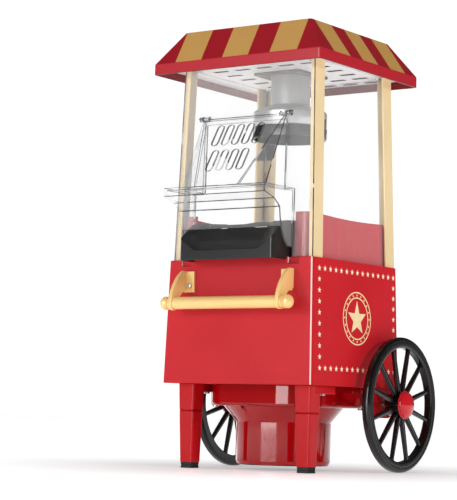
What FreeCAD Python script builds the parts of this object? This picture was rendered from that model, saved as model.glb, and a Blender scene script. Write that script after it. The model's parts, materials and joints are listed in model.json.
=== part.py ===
import FreeCAD, Part
import math
import os

from FreeCAD import Vector

# Cart-style hot-air popcorn maker.
# Millimetres, +Z up.  X runs across the cart, -Y is the front, +Y the back.
# The origin is on the table, under the middle of the body.

# ---------------------------------------------------------------- driving sizes
BODY_BOTTOM = 86.0          # table to the underside of the body
BODY_HEIGHT = 125.5
BODY_HALF_WIDTH = 89.5      # at the bottom edge of the body
BODY_HALF_DEPTH = 84.0      # at the bottom edge of the body
DRAFT_DEGREES = 1.4         # every wall leans inwards by this much
SHELL_WALL = 2.0
SHELL_CORNER = 4.0
RIM_WIDTH = 11.0            # inward rim round the top of the body
FLOOR_THICK = 2.0

PLATE_THICK = 3.0           # front plate
PLATE_INSET = 0.8

CABINET_HEIGHT = 199.5      # body top to the ceiling plate
POST_INSET = 2.0
POST_WALL = 2.0
POST_SIDE_LEG = 17.0
POST_FRONT_LEG = 5.5
POST_BACK_LEG = 16.0
PANEL_THICK = 2.0
FRONT_PANEL_INSET = 1.0

ROOF_HALF_WIDTH = 102.0
ROOF_HALF_DEPTH = 95.5
ROOF_TOP_HALF_WIDTH = 77.5
ROOF_TOP_HALF_DEPTH = 75.5
ROOF_SHIFT_Y = -4.5         # the canopy overhangs the front more than the back
FASCIA_HEIGHT = 11.0
FASCIA_DROP = 8.0           # fascia hangs this far below the ceiling plate
CANOPY_RISE = 34.5
ROOF_WALL = 2.0
CEILING_THICK = 2.0

AXIS_Y = 3.0                # vertical axis of base, chamber and kettle
BASE_RADIUS = 49.0
BASE_LIFT = 4.0             # underside of the base above the table
BASE_WALL = 2.5
CONE_RADIUS = 62.0
CONE_BOTTOM = 49.0
CONE_TOP = 64.5
PAN_HALF_WIDTH = 66.0
PAN_FRONT = -60.0
PAN_BACK = 82.0
PAN_CORNER = 38.0

CHAMBER_RADIUS = 38.0
CHAMBER_WALL = 1.0
CHAMBER_BOTTOM = 112.0
CHAMBER_TOP = 248.0
TUB_HEIGHT = 46.0
TUB_CORNER = 12.0

KETTLE_RADIUS = 38.6
KETTLE_BOTTOM = 342.0
KETTLE_BAND_HEIGHT = 27.0
KETTLE_SHOULDER = 9.0
KETTLE_WALL = 1.6
TUBE_RADIUS = 20.5
TUBE_WALL = 1.6

WHEEL_RADIUS = 69.3
WHEEL_Y = 61.7
WHEEL_OUTSET = 18.5         # wheel face beyond the widest line of the body
HUB_GAP = 2.0               # body side to the inner face of the hub
RIM_THICK_X = 9.0
RIM_DEPTH = 11.0
SPOKES = 12
HUB_RADIUS = 12.5
HUB_PROUD = 1.0             # hub face beyond the wheel face
HUB_POCKET = 4.0            # depth of the recess that takes the clip
SPOKE_THICK = 5.0
AXLE_RADIUS = 3.0
CAP_RADIUS = 14.5
CAP_RISE = 6.5
CAP_RIM = 1.5
CLIP_RADIUS = 6.0
CLIP_THICK = 1.5
AXLE_BRACKET_INSET = 5.5    # outer face of the axle bracket inside the body's widest line
AXLE_BRACKET_WALL = 4.0
AXLE_BRACKET_HALF = 19.0
AXLE_BRACKET_FLANGE = 14.0
AXLE_SCREW_Y = 14.0         # bracket screws in front of and behind the axle

LEG_X = 70.8
LEG_Y = -62.2
LEG_TOP_WIDTH = 19.6
LEG_FOOT_WIDTH = 15.4
FOOT_WIDTH = 13.4
FOOT_HEIGHT = 6.0
LEG_JOINT_Z = 58.6          # height of the groove round the leg
LEG_GROOVE = 0.7
LEG_FLANGE = 8.0
LEG_FLANGE_REACH = 36.0
LEG_SCREW_REACH = 27.0

HANDLE_Z = 166.0
HANDLE_REACH = 20.5         # bar axis in front of the front plate
BAR_RADIUS = 6.2
BAR_OVERHANG = 3.0          # bar beyond each bracket
KNOB_LENGTH = 3.0
KNOB_GROW = 0.6
HANDLE_HALF_SPAN = 66.5     # outer faces of the two brackets
BRACKET_THICK = 4.0
BRACKET_TOP = 200.0
BRACKET_FOOT = 180.0
BRACKET_EYE = 7.2
BRACKET_FLANGE_LOW = 178.0
BRACKET_FLANGE_HIGH = 199.5
BRACKET_FLANGE_WIDTH = 9.5
BRACKET_FLANGE_THICK = 3.0
BRACKET_SCREW_Z = 184.5
BRACKET_SCREW_SHANK = 1.5
NOTCH_DEPTH = 6.5           # notch in the plate's top edge behind each bracket
NOTCH_HALF = 6.5

DOOR_HINGE_Z = 356.0
DOOR_HALF_WIDTH = 51.0
DOOR_LIP_FRONT = -131.0
DOOR_LIP_HALF_WIDTH = 61.2
DOOR_LIP_Z = 280.0
DOOR_LIP_HEIGHT = 8.5
DOOR_WALL = 2.0
FACET_TOP_HALF = 50.0       # the sloping front face at the hinge
FACET_LOW_HALF = 26.0       # and at the lip
FACET_LOW_Y = DOOR_LIP_FRONT + 3.5
SIDE_LOW_Y = DOOR_LIP_FRONT + 16.0
LOWER_WALL_Y = -104.0
LOWER_WALL_BOTTOM = 240.0
CHEEK_BOTTOM = 221.0
SLOT_PITCH = 12.3
SLOT_HALF = 3.3
SLOT_ROWS = (((325.0, 347.0), (-2, -1, 0, 1, 2)), ((297.0, 319.0), (-1.5, -0.5, 0.5, 1.5)))
HINGE_PIN_RADIUS = 1.25
HINGE_BARREL_RADIUS = 2.6
HINGE_BARREL_LENGTH = 8.0
HINGE_OFFSET = 3.2
LUG_HALF = 2.0

CHUTE_FRONT = -108.5
CHUTE_HALF_WIDTH = 57.0
CHUTE_LIP_HEIGHT = 10.0
CHUTE_OVERHANG = 2.8        # the chute's front hangs this far below the body top
CHUTE_BACK = -48.0
CHUTE_BEND_Y = -84.0        # where the steep ramp turns into the gentle one
CHUTE_STEEP_RISE = 27.0
CHUTE_GENTLE_RISE = 3.0
CHUTE_FLOOR_HALF = 38.0
CHUTE_CHEEK = 1.8
CHUTE_CHEEK_RISE = 11.0     # height over which the ramp widens to the cheeks
CHUTE_WALL = 2.5

SWITCH_X = 42.0
SWITCH_Z = 118.0
SWITCH_HALF_WIDTH = 10.5
SWITCH_HALF_HEIGHT = 7.0
SWITCH_WALL = 1.5
SWITCH_DEPTH = 16.0
SWITCH_PIN_RADIUS = 1.5
BEZEL_BORDER = 2.5
ROCKER_RADIUS = 8.5
ROCKER_TILT = 8.0           # the switch rests on its 'off' side
GLAND_X = -42.0
GLAND_Z = 104.0
GLAND_RADIUS = 6.5
GLAND_BORE = 3.6
VENT_COUNT = 7
VENT_PITCH = 9.0
VENT_Z = 160.0
VENT_HALF_WIDTH = 24.0
VENT_HALF_HEIGHT = 1.5

BASE_OPENING = 52.0         # radius of the round opening in the body floor
CHASSIS_SHANK = 1.5
MOTOR_RADIUS = 18.0
MOTOR_BOTTOM = 14.0
MOTOR_TOP = 44.0
SHAFT_RADIUS = 2.0
MOTOR_PLATE = 2.5
MOTOR_POST_RADIUS = 2.6
FAN_RADIUS = 42.0
FAN_BOTTOM = 52.0
FAN_TOP = 66.0
FAN_HUB_RADIUS = 7.0
FAN_BLADES = 12
FAN_BLADE_LEAN = 22.0
COVER_LIFT = 1.0            # bottom cover above the base's own edge
COVER_THICK = 2.5
SHROUD_Z = 72.0
SHROUD_WALL = 2.0
SHROUD_EYE = 24.0
DUCT_WALL = 1.0
DUCT_GAP = 0.2
DUCT_OVERLAP = 14.0         # the duct reaches this far up round the chamber
FORMER_HEIGHT = 24.0
FORMER_HALF_THICK = 0.75
COIL_RADIUS = 24.0
COIL_WIRE = 1.1
COIL_TURNS = 5
COIL_PITCH = 4.0
CONTROLS_Z = 101.0          # thermostat and fuse on the duct
THERMOSTAT_RADIUS = 7.0
FUSE_RADIUS = 2.0
FUSE_HALF = 8.0
CHAMBER_VENTS = 16

TUB_WALL = 1.6
TUB_DIP = 3.0               # the side rims sag by this much
KETTLE_MOUNT_HALF = 29.0
KETTLE_MOUNT_DROP = 2.5
CEILING_SLOT_PITCH_X = 27.0
CEILING_SLOT_PITCH_Y = 25.0
CEILING_SLOT_HALF = 9.0
CEILING_SLOT_HALF_WIDTH = 3.2
CEILING_SHANK = 1.5
BOSS_RADIUS = 4.0
ROOF_CORNER = 3.0
CAP_TOP_RADIUS = 26.0
CAP_TOP_HEIGHT = 9.0
CAP_SKIRT_RADIUS = 17.0
CAP_SKIRT_DEPTH = 18.0
CAP_WALL = 1.6
GRIP_HALF = 12.0
GRIP_TOP = 15.0

# clearances
FIT = 0.2                   # between pieces that are screwed together
RUN = 0.05                  # radial, between a turning piece and its pin
SWING = 0.5                 # between a moving piece and its neighbours
FAR = 200.0                 # longer than any piece, for tools that cut right through

# ---------------------------------------------------------------- derived sizes
BODY_TOP = BODY_BOTTOM + BODY_HEIGHT
CEILING = BODY_TOP + CABINET_HEIGHT
FASCIA_BOTTOM = CEILING - FASCIA_DROP
FASCIA_TOP = FASCIA_BOTTOM + FASCIA_HEIGHT
ROOF_TOP = FASCIA_TOP + CANOPY_RISE
DRAFT = math.tan(math.radians(DRAFT_DEGREES))
KETTLE_TOP = KETTLE_BOTTOM + KETTLE_BAND_HEIGHT
TUBE_BOTTOM = KETTLE_TOP + KETTLE_SHOULDER
KERNEL_HOLE = TUBE_RADIUS + FIT
WHEEL_OUTER_X = BODY_HALF_WIDTH + WHEEL_OUTSET
HUB_INNER_X = BODY_HALF_WIDTH + HUB_GAP
HUB_OUTER_X = WHEEL_OUTER_X + HUB_PROUD
AXLE_BRACKET_X = BODY_HALF_WIDTH - AXLE_BRACKET_INSET
BRACKET_SCREW_X = HANDLE_HALF_SPAN - 8.5
OPENING_HALF_WIDTH = DOOR_HALF_WIDTH - 2.5
LOWER_HALF_WIDTH = DOOR_LIP_HALF_WIDTH - 1.0
HINGE_Y = FRONT_PANEL_INSET - (BODY_HALF_DEPTH - DRAFT * (DOOR_HINGE_Z - BODY_BOTTOM)) - HINGE_OFFSET

parts = {}


# ---------------------------------------------------------------- helpers
def half_width(z):
    """Half width of the leaning outline at height z."""
    return BODY_HALF_WIDTH - DRAFT * (z - BODY_BOTTOM)


def half_depth(z):
    """Half depth of the leaning outline at height z."""
    return BODY_HALF_DEPTH - DRAFT * (z - BODY_BOTTOM)


def box(x0, x1, y0, y1, z0, z1):
    return Part.makeBox(x1 - x0, y1 - y0, z1 - z0, Vector(x0, y0, z0))


def rod(radius, start, end):
    a = Vector(*start)
    b = Vector(*end)
    return Part.makeCylinder(radius, (b - a).Length, a, b - a)


def pipe(outer, inner, start, end):
    return rod(outer, start, end).cut(rod(inner, start, end))


def upright(radius, z0, z1):
    """Rod on the vertical axis of base, chamber and kettle."""
    return rod(radius, (0, AXIS_Y, z0), (0, AXIS_Y, z1))


def sleeve(outer, inner, z0, z1):
    """Pipe on the same vertical axis."""
    return upright(outer, z0, z1).cut(upright(inner, z0, z1))


def rounded_wire(x0, x1, y0, y1, radius, z):
    """Rectangle with round corners at height z, always eight edges."""
    r = radius
    k = r * (1.0 - math.sqrt(0.5))
    corners = [
        (Vector(x1 - r, y0, z), Vector(x1 - k, y0 + k, z), Vector(x1, y0 + r, z)),
        (Vector(x1, y1 - r, z), Vector(x1 - k, y1 - k, z), Vector(x1 - r, y1, z)),
        (Vector(x0 + r, y1, z), Vector(x0 + k, y1 - k, z), Vector(x0, y1 - r, z)),
        (Vector(x0, y0 + r, z), Vector(x0 + k, y0 + k, z), Vector(x0 + r, y0, z)),
    ]
    edges = []
    for index, (a, mid, b) in enumerate(corners):
        edges.append(Part.Arc(a, mid, b).toShape())
        edges.append(Part.LineSegment(b, corners[(index + 1) % 4][0]).toShape())
    return Part.Wire(edges)


def polygon_wire(points):
    return Part.makePolygon([Vector(*p) for p in points] + [Vector(*points[0])])


def leaning(z0, z1, rect, radius=0.0):
    """Solid between two rectangles; rect(z) gives (x0, x1, y0, y1)."""
    wires = []
    for z in (z0, z1):
        x0, x1, y0, y1 = rect(z)
        if radius:
            wires.append(rounded_wire(x0, x1, y0, y1, radius, z))
        else:
            wires.append(polygon_wire([(x0, y0, z), (x1, y0, z), (x1, y1, z), (x0, y1, z)]))
    return Part.makeLoft(wires, True, True)


def outline(inset):
    """Rectangle of the leaning body outline, moved inwards by inset."""
    return lambda z: (inset - half_width(z), half_width(z) - inset,
                      inset - half_depth(z), half_depth(z) - inset)


def extruded(points, vector):
    """Prism from a closed polygon and an extrusion vector."""
    return Part.Face(polygon_wire(points)).extrude(Vector(*vector))


def turned(profile, x=0.0, y=AXIS_Y):
    """Body of revolution about a vertical axis; profile holds (radius, z)."""
    points = [(x + r, y, z) for r, z in profile]
    return Part.Face(polygon_wire(points)).revolve(Vector(x, y, 0), Vector(0, 0, 1), 360)


def joined(shapes):
    shape = shapes[0].multiFuse(shapes[1:]) if len(shapes) > 1 else shapes[0]
    return shape.removeSplitter()


def mirrored_x(shape):
    return shape.mirror(Vector(0, 0, 0), Vector(1, 0, 0))


def add(name, shape):
    """Keep a finished piece, or a group of separate solids, under its name."""
    if isinstance(shape, list):
        shape = Part.makeCompound(shape)
    solids = shape.Solids
    parts[name] = solids[0] if len(solids) == 1 else Part.makeCompound(solids)


def screw(head_radius, head_height, shank_radius, shank_length, at, direction):
    """Pan-head screw whose head sits on the point 'at' and points along direction."""
    d = Vector(*direction)
    p = Vector(*at)
    head = Part.makeCylinder(head_radius, head_height, p, d)
    edge = [e for e in head.Edges if e.Closed and (e.CenterOfMass - (p + d * head_height)).Length < 0.01]
    head = head.makeFillet(head_height * 0.45, edge)
    shank = Part.makeCylinder(shank_radius, shank_length, p - d * shank_length, d)
    slot_depth = head_height * 0.4
    across = Vector(0, 0, 1) if abs(d.z) < 0.5 else Vector(1, 0, 0)
    side = d.cross(across)
    slot_half = head_radius * 0.65
    slot_width = head_radius * 0.28
    shape = head.fuse(shank)
    for long_way, short_way in ((across, side), (side, across)):
        base = p + d * (head_height - slot_depth)
        corner = base - long_way * slot_half - short_way * (slot_width / 2)
        face = Part.Face(Part.makePolygon([
            corner,
            corner + long_way * slot_half * 2,
            corner + long_way * slot_half * 2 + short_way * slot_width,
            corner + short_way * slot_width,
            corner,
        ]))
        shape = shape.cut(face.extrude(d * head_height))
    return shape.removeSplitter()


# ---------------------------------------------------------------- body
def make_body():
    shell = leaning(BODY_BOTTOM, BODY_TOP, outline(0.0), SHELL_CORNER)
    shell = shell.cut(leaning(BODY_BOTTOM - 1.0, BODY_TOP - SHELL_WALL, outline(SHELL_WALL), SHELL_CORNER - 1.0))
    shell = shell.cut(leaning(BODY_TOP - SHELL_WALL - 1.0, BODY_TOP + 1.0, outline(RIM_WIDTH)))
    cuts = [
        box(SWITCH_X - SWITCH_HALF_WIDTH, SWITCH_X + SWITCH_HALF_WIDTH, 0, BODY_HALF_DEPTH + 5,
            SWITCH_Z - SWITCH_HALF_HEIGHT, SWITCH_Z + SWITCH_HALF_HEIGHT),
        rod(GLAND_RADIUS, (GLAND_X, 0, GLAND_Z), (GLAND_X, BODY_HALF_DEPTH + 5, GLAND_Z)),
    ]
    for index in range(VENT_COUNT):
        z = VENT_Z + (index - (VENT_COUNT - 1) / 2) * VENT_PITCH
        cuts.append(box(-VENT_HALF_WIDTH, VENT_HALF_WIDTH, 0, BODY_HALF_DEPTH + 5,
                        z - VENT_HALF_HEIGHT, z + VENT_HALF_HEIGHT))
    for side in (-1, 1):
        x = side * BRACKET_SCREW_X
        cuts.append(rod(BRACKET_SCREW_SHANK + FIT, (x, -FAR, BRACKET_SCREW_Z), (x, 0, BRACKET_SCREW_Z)))
    shell = shell.cut(cuts)
    add("body_shell", shell)

    floor_rect = outline(SHELL_WALL + FIT)
    floor = leaning(BODY_BOTTOM, BODY_BOTTOM + FLOOR_THICK, floor_rect, SHELL_CORNER - 1.0)
    floor = floor.cut(upright(BASE_OPENING, BODY_BOTTOM - 1, BODY_BOTTOM + FLOOR_THICK + 1))
    holes = [rod(CHASSIS_SHANK + FIT, (x, y, BODY_BOTTOM - 1), (x, y, BODY_BOTTOM + FLOOR_THICK + 1))
             for x, y, _ in chassis_screw_places()]
    add("body_floor", floor.cut(holes))

    plate = leaning(BODY_BOTTOM, BODY_TOP, lambda z: (
        PLATE_INSET - half_width(z), half_width(z) - PLATE_INSET, -half_depth(z) - PLATE_THICK, -half_depth(z)))
    notch_x = HANDLE_HALF_SPAN - BRACKET_THICK / 2 + 0.5
    tools = []
    for side in (-1, 1):
        x = side * notch_x
        tools.append(box(x - NOTCH_HALF, x + NOTCH_HALF, -FAR, 0, BODY_TOP - NOTCH_DEPTH, BODY_TOP + 1))
        x = side * BRACKET_SCREW_X
        tools.append(rod(BRACKET_SCREW_SHANK + FIT, (x, -FAR, BRACKET_SCREW_Z), (x, 0, BRACKET_SCREW_Z)))
    add("front_plate", plate.cut(tools))


def axle_screw_x():
    """Distance from the middle to the screws in the axle bracket's flange."""
    return AXLE_BRACKET_X - AXLE_BRACKET_FLANGE / 2 - AXLE_BRACKET_WALL / 2


def chassis_screw_places():
    """Positions of the screws driven upwards into the body floor: (x, y, head z)."""
    places = []
    for side in (-1, 1):
        places.append((side * LEG_X, LEG_Y + LEG_SCREW_REACH, BODY_BOTTOM - LEG_FLANGE))
        for y in (WHEEL_Y - AXLE_SCREW_Y, WHEEL_Y + AXLE_SCREW_Y):
            places.append((side * axle_screw_x(), y, BODY_BOTTOM - AXLE_BRACKET_WALL))
        for y in (PAN_FRONT + 21.0, PAN_BACK - 21.0):
            places.append((side * (PAN_HALF_WIDTH - 9.0), y, CONE_TOP))
    return places


# ---------------------------------------------------------------- legs and feet
def make_legs():
    for side, name in ((-1, "left"), (1, "right")):
        x = side * LEG_X

        def leg_rect(z, grow=0.0):
            share = (BODY_BOTTOM - z) / (BODY_BOTTOM - FOOT_HEIGHT)
            half = (LEG_TOP_WIDTH + (LEG_FOOT_WIDTH - LEG_TOP_WIDTH) * share) / 2 + grow
            return (x - half, x + half, LEG_Y - half, LEG_Y + half)

        leg = leaning(FOOT_HEIGHT, BODY_BOTTOM, leg_rect, 2.2)
        ring = leaning(LEG_JOINT_Z - 0.5, LEG_JOINT_Z + 0.5, lambda z: leg_rect(z, 1.0))
        ring = ring.cut(leaning(LEG_JOINT_Z - 0.6, LEG_JOINT_Z + 0.6, lambda z: leg_rect(z, -LEG_GROOVE)))
        leg = leg.cut(ring)
        half = LEG_TOP_WIDTH / 2
        flange = box(x - half, x + half, LEG_Y, LEG_Y + LEG_FLANGE_REACH,
                     BODY_BOTTOM - LEG_FLANGE, BODY_BOTTOM)
        pan_edge = side * (PAN_HALF_WIDTH + FIT)
        keep = box(*sorted((pan_edge, side * FAR)), -FAR, FAR, 0, BODY_BOTTOM)
        flange = flange.common(keep)
        leg = joined([leg, flange])
        hole_y = LEG_Y + LEG_SCREW_REACH
        leg = leg.cut(rod(CHASSIS_SHANK + FIT, (x, hole_y, 0), (x, hole_y, BODY_BOTTOM + 1)))
        add("leg_" + name, leg)
        add("foot_" + name, leaning(0.0, FOOT_HEIGHT, lambda z: (
            x - FOOT_WIDTH / 2, x + FOOT_WIDTH / 2, LEG_Y - FOOT_WIDTH / 2, LEG_Y + FOOT_WIDTH / 2), 2.0))


# ---------------------------------------------------------------- wheels and axle
def on_axle(radius, x0, x1):
    """Rod round the right-hand wheel's axis between two distances from the middle."""
    return rod(radius, (x0, WHEEL_Y, WHEEL_RADIUS), (x1, WHEEL_Y, WHEEL_RADIUS))


def make_wheels():
    clips = []
    stubs = []
    for side, name in ((-1, "left"), (1, "right")):
        centre = Vector(0, WHEEL_Y, WHEEL_RADIUS)
        x_out = WHEEL_OUTER_X
        x_in = x_out - RIM_THICK_X
        rim_inner = WHEEL_RADIUS - RIM_DEPTH
        rim_profile = [
            (x_in, rim_inner), (x_in, WHEEL_RADIUS - 1.6), (x_in + 1.6, WHEEL_RADIUS),
            (x_out - 1.6, WHEEL_RADIUS), (x_out, WHEEL_RADIUS - 1.6), (x_out, rim_inner + 1.2),
            (x_out - 1.2, rim_inner),
        ]
        face = Part.Face(polygon_wire([(px, WHEEL_Y, WHEEL_RADIUS + r) for px, r in rim_profile]))
        rim = face.revolve(centre, Vector(1, 0, 0), 360)
        groove = pipe(WHEEL_RADIUS - 3.4, WHEEL_RADIUS - 4.6, (x_out - 0.8, WHEEL_Y, WHEEL_RADIUS),
                      (x_out + 1, WHEEL_Y, WHEEL_RADIUS))
        rim = rim.cut(groove)
        hub = on_axle(HUB_RADIUS, HUB_INNER_X, HUB_OUTER_X)
        spokes = []
        for index in range(SPOKES):
            spoke = extruded([
                (x_out - 2.0, WHEEL_Y - 2.5, WHEEL_RADIUS + HUB_RADIUS - 3.0),
                (x_out - 2.0, WHEEL_Y + 2.5, WHEEL_RADIUS + HUB_RADIUS - 3.0),
                (x_out - 2.0, WHEEL_Y + 2.0, WHEEL_RADIUS + rim_inner + 1.5),
                (x_out - 2.0, WHEEL_Y - 2.0, WHEEL_RADIUS + rim_inner + 1.5),
            ], (-SPOKE_THICK, 0, 0))
            spoke.rotate(centre, Vector(1, 0, 0), 360.0 / SPOKES * (index + 0.5))
            spokes.append(spoke)
        wheel = joined([rim, hub] + spokes)
        bore = on_axle(AXLE_RADIUS + RUN, HUB_INNER_X - 1, HUB_OUTER_X + 1)
        pocket = on_axle(HUB_RADIUS - 4.0, HUB_OUTER_X - HUB_POCKET, HUB_OUTER_X + 1)
        wheel = wheel.cut([bore, pocket])

        ball = (CAP_RADIUS ** 2 + CAP_RISE ** 2) / (2 * CAP_RISE)
        cap_base = HUB_OUTER_X + CAP_RIM
        dome = Part.makeSphere(ball, Vector(cap_base + CAP_RISE - ball, WHEEL_Y, WHEEL_RADIUS))
        dome = dome.common(on_axle(CAP_RADIUS, cap_base, FAR))
        cap = joined([on_axle(CAP_RADIUS, HUB_OUTER_X, cap_base), dome])

        clip_in = HUB_OUTER_X - HUB_POCKET + SWING
        clip_out = clip_in + CLIP_THICK
        clip = on_axle(CLIP_RADIUS, clip_in, clip_out).cut(on_axle(AXLE_RADIUS, clip_in, clip_out))

        ear_in = AXLE_BRACKET_X - AXLE_BRACKET_WALL
        stub = on_axle(AXLE_RADIUS, ear_in, clip_out + 1.0)
        stub = stub.fuse(on_axle(AXLE_RADIUS + 2.5, ear_in - 2.5, ear_in))

        brace = make_axle_bracket()
        if side < 0:
            wheel, cap, clip, stub, brace = [mirrored_x(s) for s in (wheel, cap, clip, stub, brace)]
        add("wheel_" + name, wheel)
        add("hub_cap_" + name, cap)
        add("axle_bracket_" + name, brace)
        clips.append(clip)
        stubs.append(stub)
    add("axle_clips", clips)
    add("axle_stubs", stubs)


def make_axle_bracket():
    """Right-hand bracket: a rounded ear on a flange that screws to the body floor."""
    low = WHEEL_RADIUS - 14.0
    inner = AXLE_BRACKET_X - AXLE_BRACKET_WALL
    front = WHEEL_Y - AXLE_BRACKET_HALF
    back = WHEEL_Y + AXLE_BRACKET_HALF
    ear = box(inner, AXLE_BRACKET_X, front, back, low, BODY_BOTTOM)
    middle = (inner + AXLE_BRACKET_X) / 2
    bottom_edges = [e for e in ear.Edges if abs(e.CenterOfMass.z - low) < 0.01
                    and abs(e.CenterOfMass.x - middle) < 0.01]
    ear = ear.makeFillet(9.0, bottom_edges)
    flange = box(inner - AXLE_BRACKET_FLANGE, inner, front, back, BODY_BOTTOM - AXLE_BRACKET_WALL, BODY_BOTTOM)
    flange = flange.cut(box(0, PAN_HALF_WIDTH + FIT, -FAR, FAR, 0, FAR))
    tools = [on_axle(AXLE_RADIUS, 0, FAR)]
    for y in (WHEEL_Y - AXLE_SCREW_Y, WHEEL_Y + AXLE_SCREW_Y):
        x = axle_screw_x()
        tools.append(rod(CHASSIS_SHANK + FIT, (x, y, 0), (x, y, BODY_BOTTOM + 1)))
    return joined([ear, flange]).cut(tools)


# ---------------------------------------------------------------- handle
def plate_face(z):
    """Front face of the front plate at height z."""
    return -half_depth(z) - PLATE_THICK


def make_handle():
    screws = []
    knobs = []
    bar_y = plate_face(HANDLE_Z) - HANDLE_REACH
    inner = HANDLE_HALF_SPAN - BRACKET_THICK
    nose = bar_y - BRACKET_EYE
    heel = bar_y + BRACKET_EYE
    brow = plate_face(BRACKET_TOP) - 7.0
    foot = Vector(inner, plate_face(BRACKET_FOOT), BRACKET_FOOT)
    head = Vector(inner, plate_face(BRACKET_TOP), BRACKET_TOP)
    for side, name in ((-1, "left"), (1, "right")):
        edges = [
            Part.LineSegment(foot, head).toShape(),
            Part.LineSegment(head, Vector(inner, brow, BRACKET_TOP)).toShape(),
            Part.Arc(Vector(inner, brow, BRACKET_TOP), Vector(inner, nose + 7.5, BRACKET_TOP - 14.0),
                     Vector(inner, nose, HANDLE_Z)).toShape(),
            Part.Arc(Vector(inner, nose, HANDLE_Z), Vector(inner, bar_y, HANDLE_Z - BRACKET_EYE),
                     Vector(inner, heel, HANDLE_Z)).toShape(),
            Part.Arc(Vector(inner, heel, HANDLE_Z), Vector(inner, heel + 3.2, HANDLE_Z + 9.5), foot).toShape(),
        ]
        cheek = Part.Face(Part.Wire(edges)).extrude(Vector(BRACKET_THICK, 0, 0))
        flange = leaning(BRACKET_FLANGE_LOW, BRACKET_FLANGE_HIGH, lambda z: (
            inner - BRACKET_FLANGE_WIDTH, HANDLE_HALF_SPAN - 1.0,
            plate_face(z) - BRACKET_FLANGE_THICK, plate_face(z)))
        bracket = joined([cheek, flange])
        bracket = bracket.cut([
            rod(BAR_RADIUS, (0, bar_y, HANDLE_Z), (FAR, bar_y, HANDLE_Z)),
            rod(BRACKET_SCREW_SHANK + FIT, (BRACKET_SCREW_X, -FAR, BRACKET_SCREW_Z),
                (BRACKET_SCREW_X, 0, BRACKET_SCREW_Z)),
        ])
        bracket = bracket.Solids[0]
        if side < 0:
            bracket = mirrored_x(bracket)
        add("handle_bracket_" + name, bracket)
        seat = plate_face(BRACKET_SCREW_Z) - BRACKET_FLANGE_THICK - 2 * FIT
        screws.append(screw(2.6, 1.8, BRACKET_SCREW_SHANK, 11.0, (side * BRACKET_SCREW_X, seat, BRACKET_SCREW_Z),
                            (0, -1, 0)))
    add("handle_screws", screws)
    bar_end = HANDLE_HALF_SPAN + BAR_OVERHANG
    add("handle_bar", rod(BAR_RADIUS, (-bar_end, bar_y, HANDLE_Z), (bar_end, bar_y, HANDLE_Z)))
    knob_radius = BAR_RADIUS + KNOB_GROW
    for side in (-1, 1):
        middle = side * (bar_end + KNOB_LENGTH)
        neck = rod(knob_radius, (side * bar_end, bar_y, HANDLE_Z), (middle, bar_y, HANDLE_Z))
        ball = Part.makeSphere(knob_radius, Vector(middle, bar_y, HANDLE_Z))
        ball = ball.common(box(*sorted((side * (bar_end + 0.5), side * FAR)), -FAR, 0, 0, BODY_TOP + FAR))
        knobs.append(joined([neck, ball]))
    add("handle_end_caps", knobs)


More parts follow.
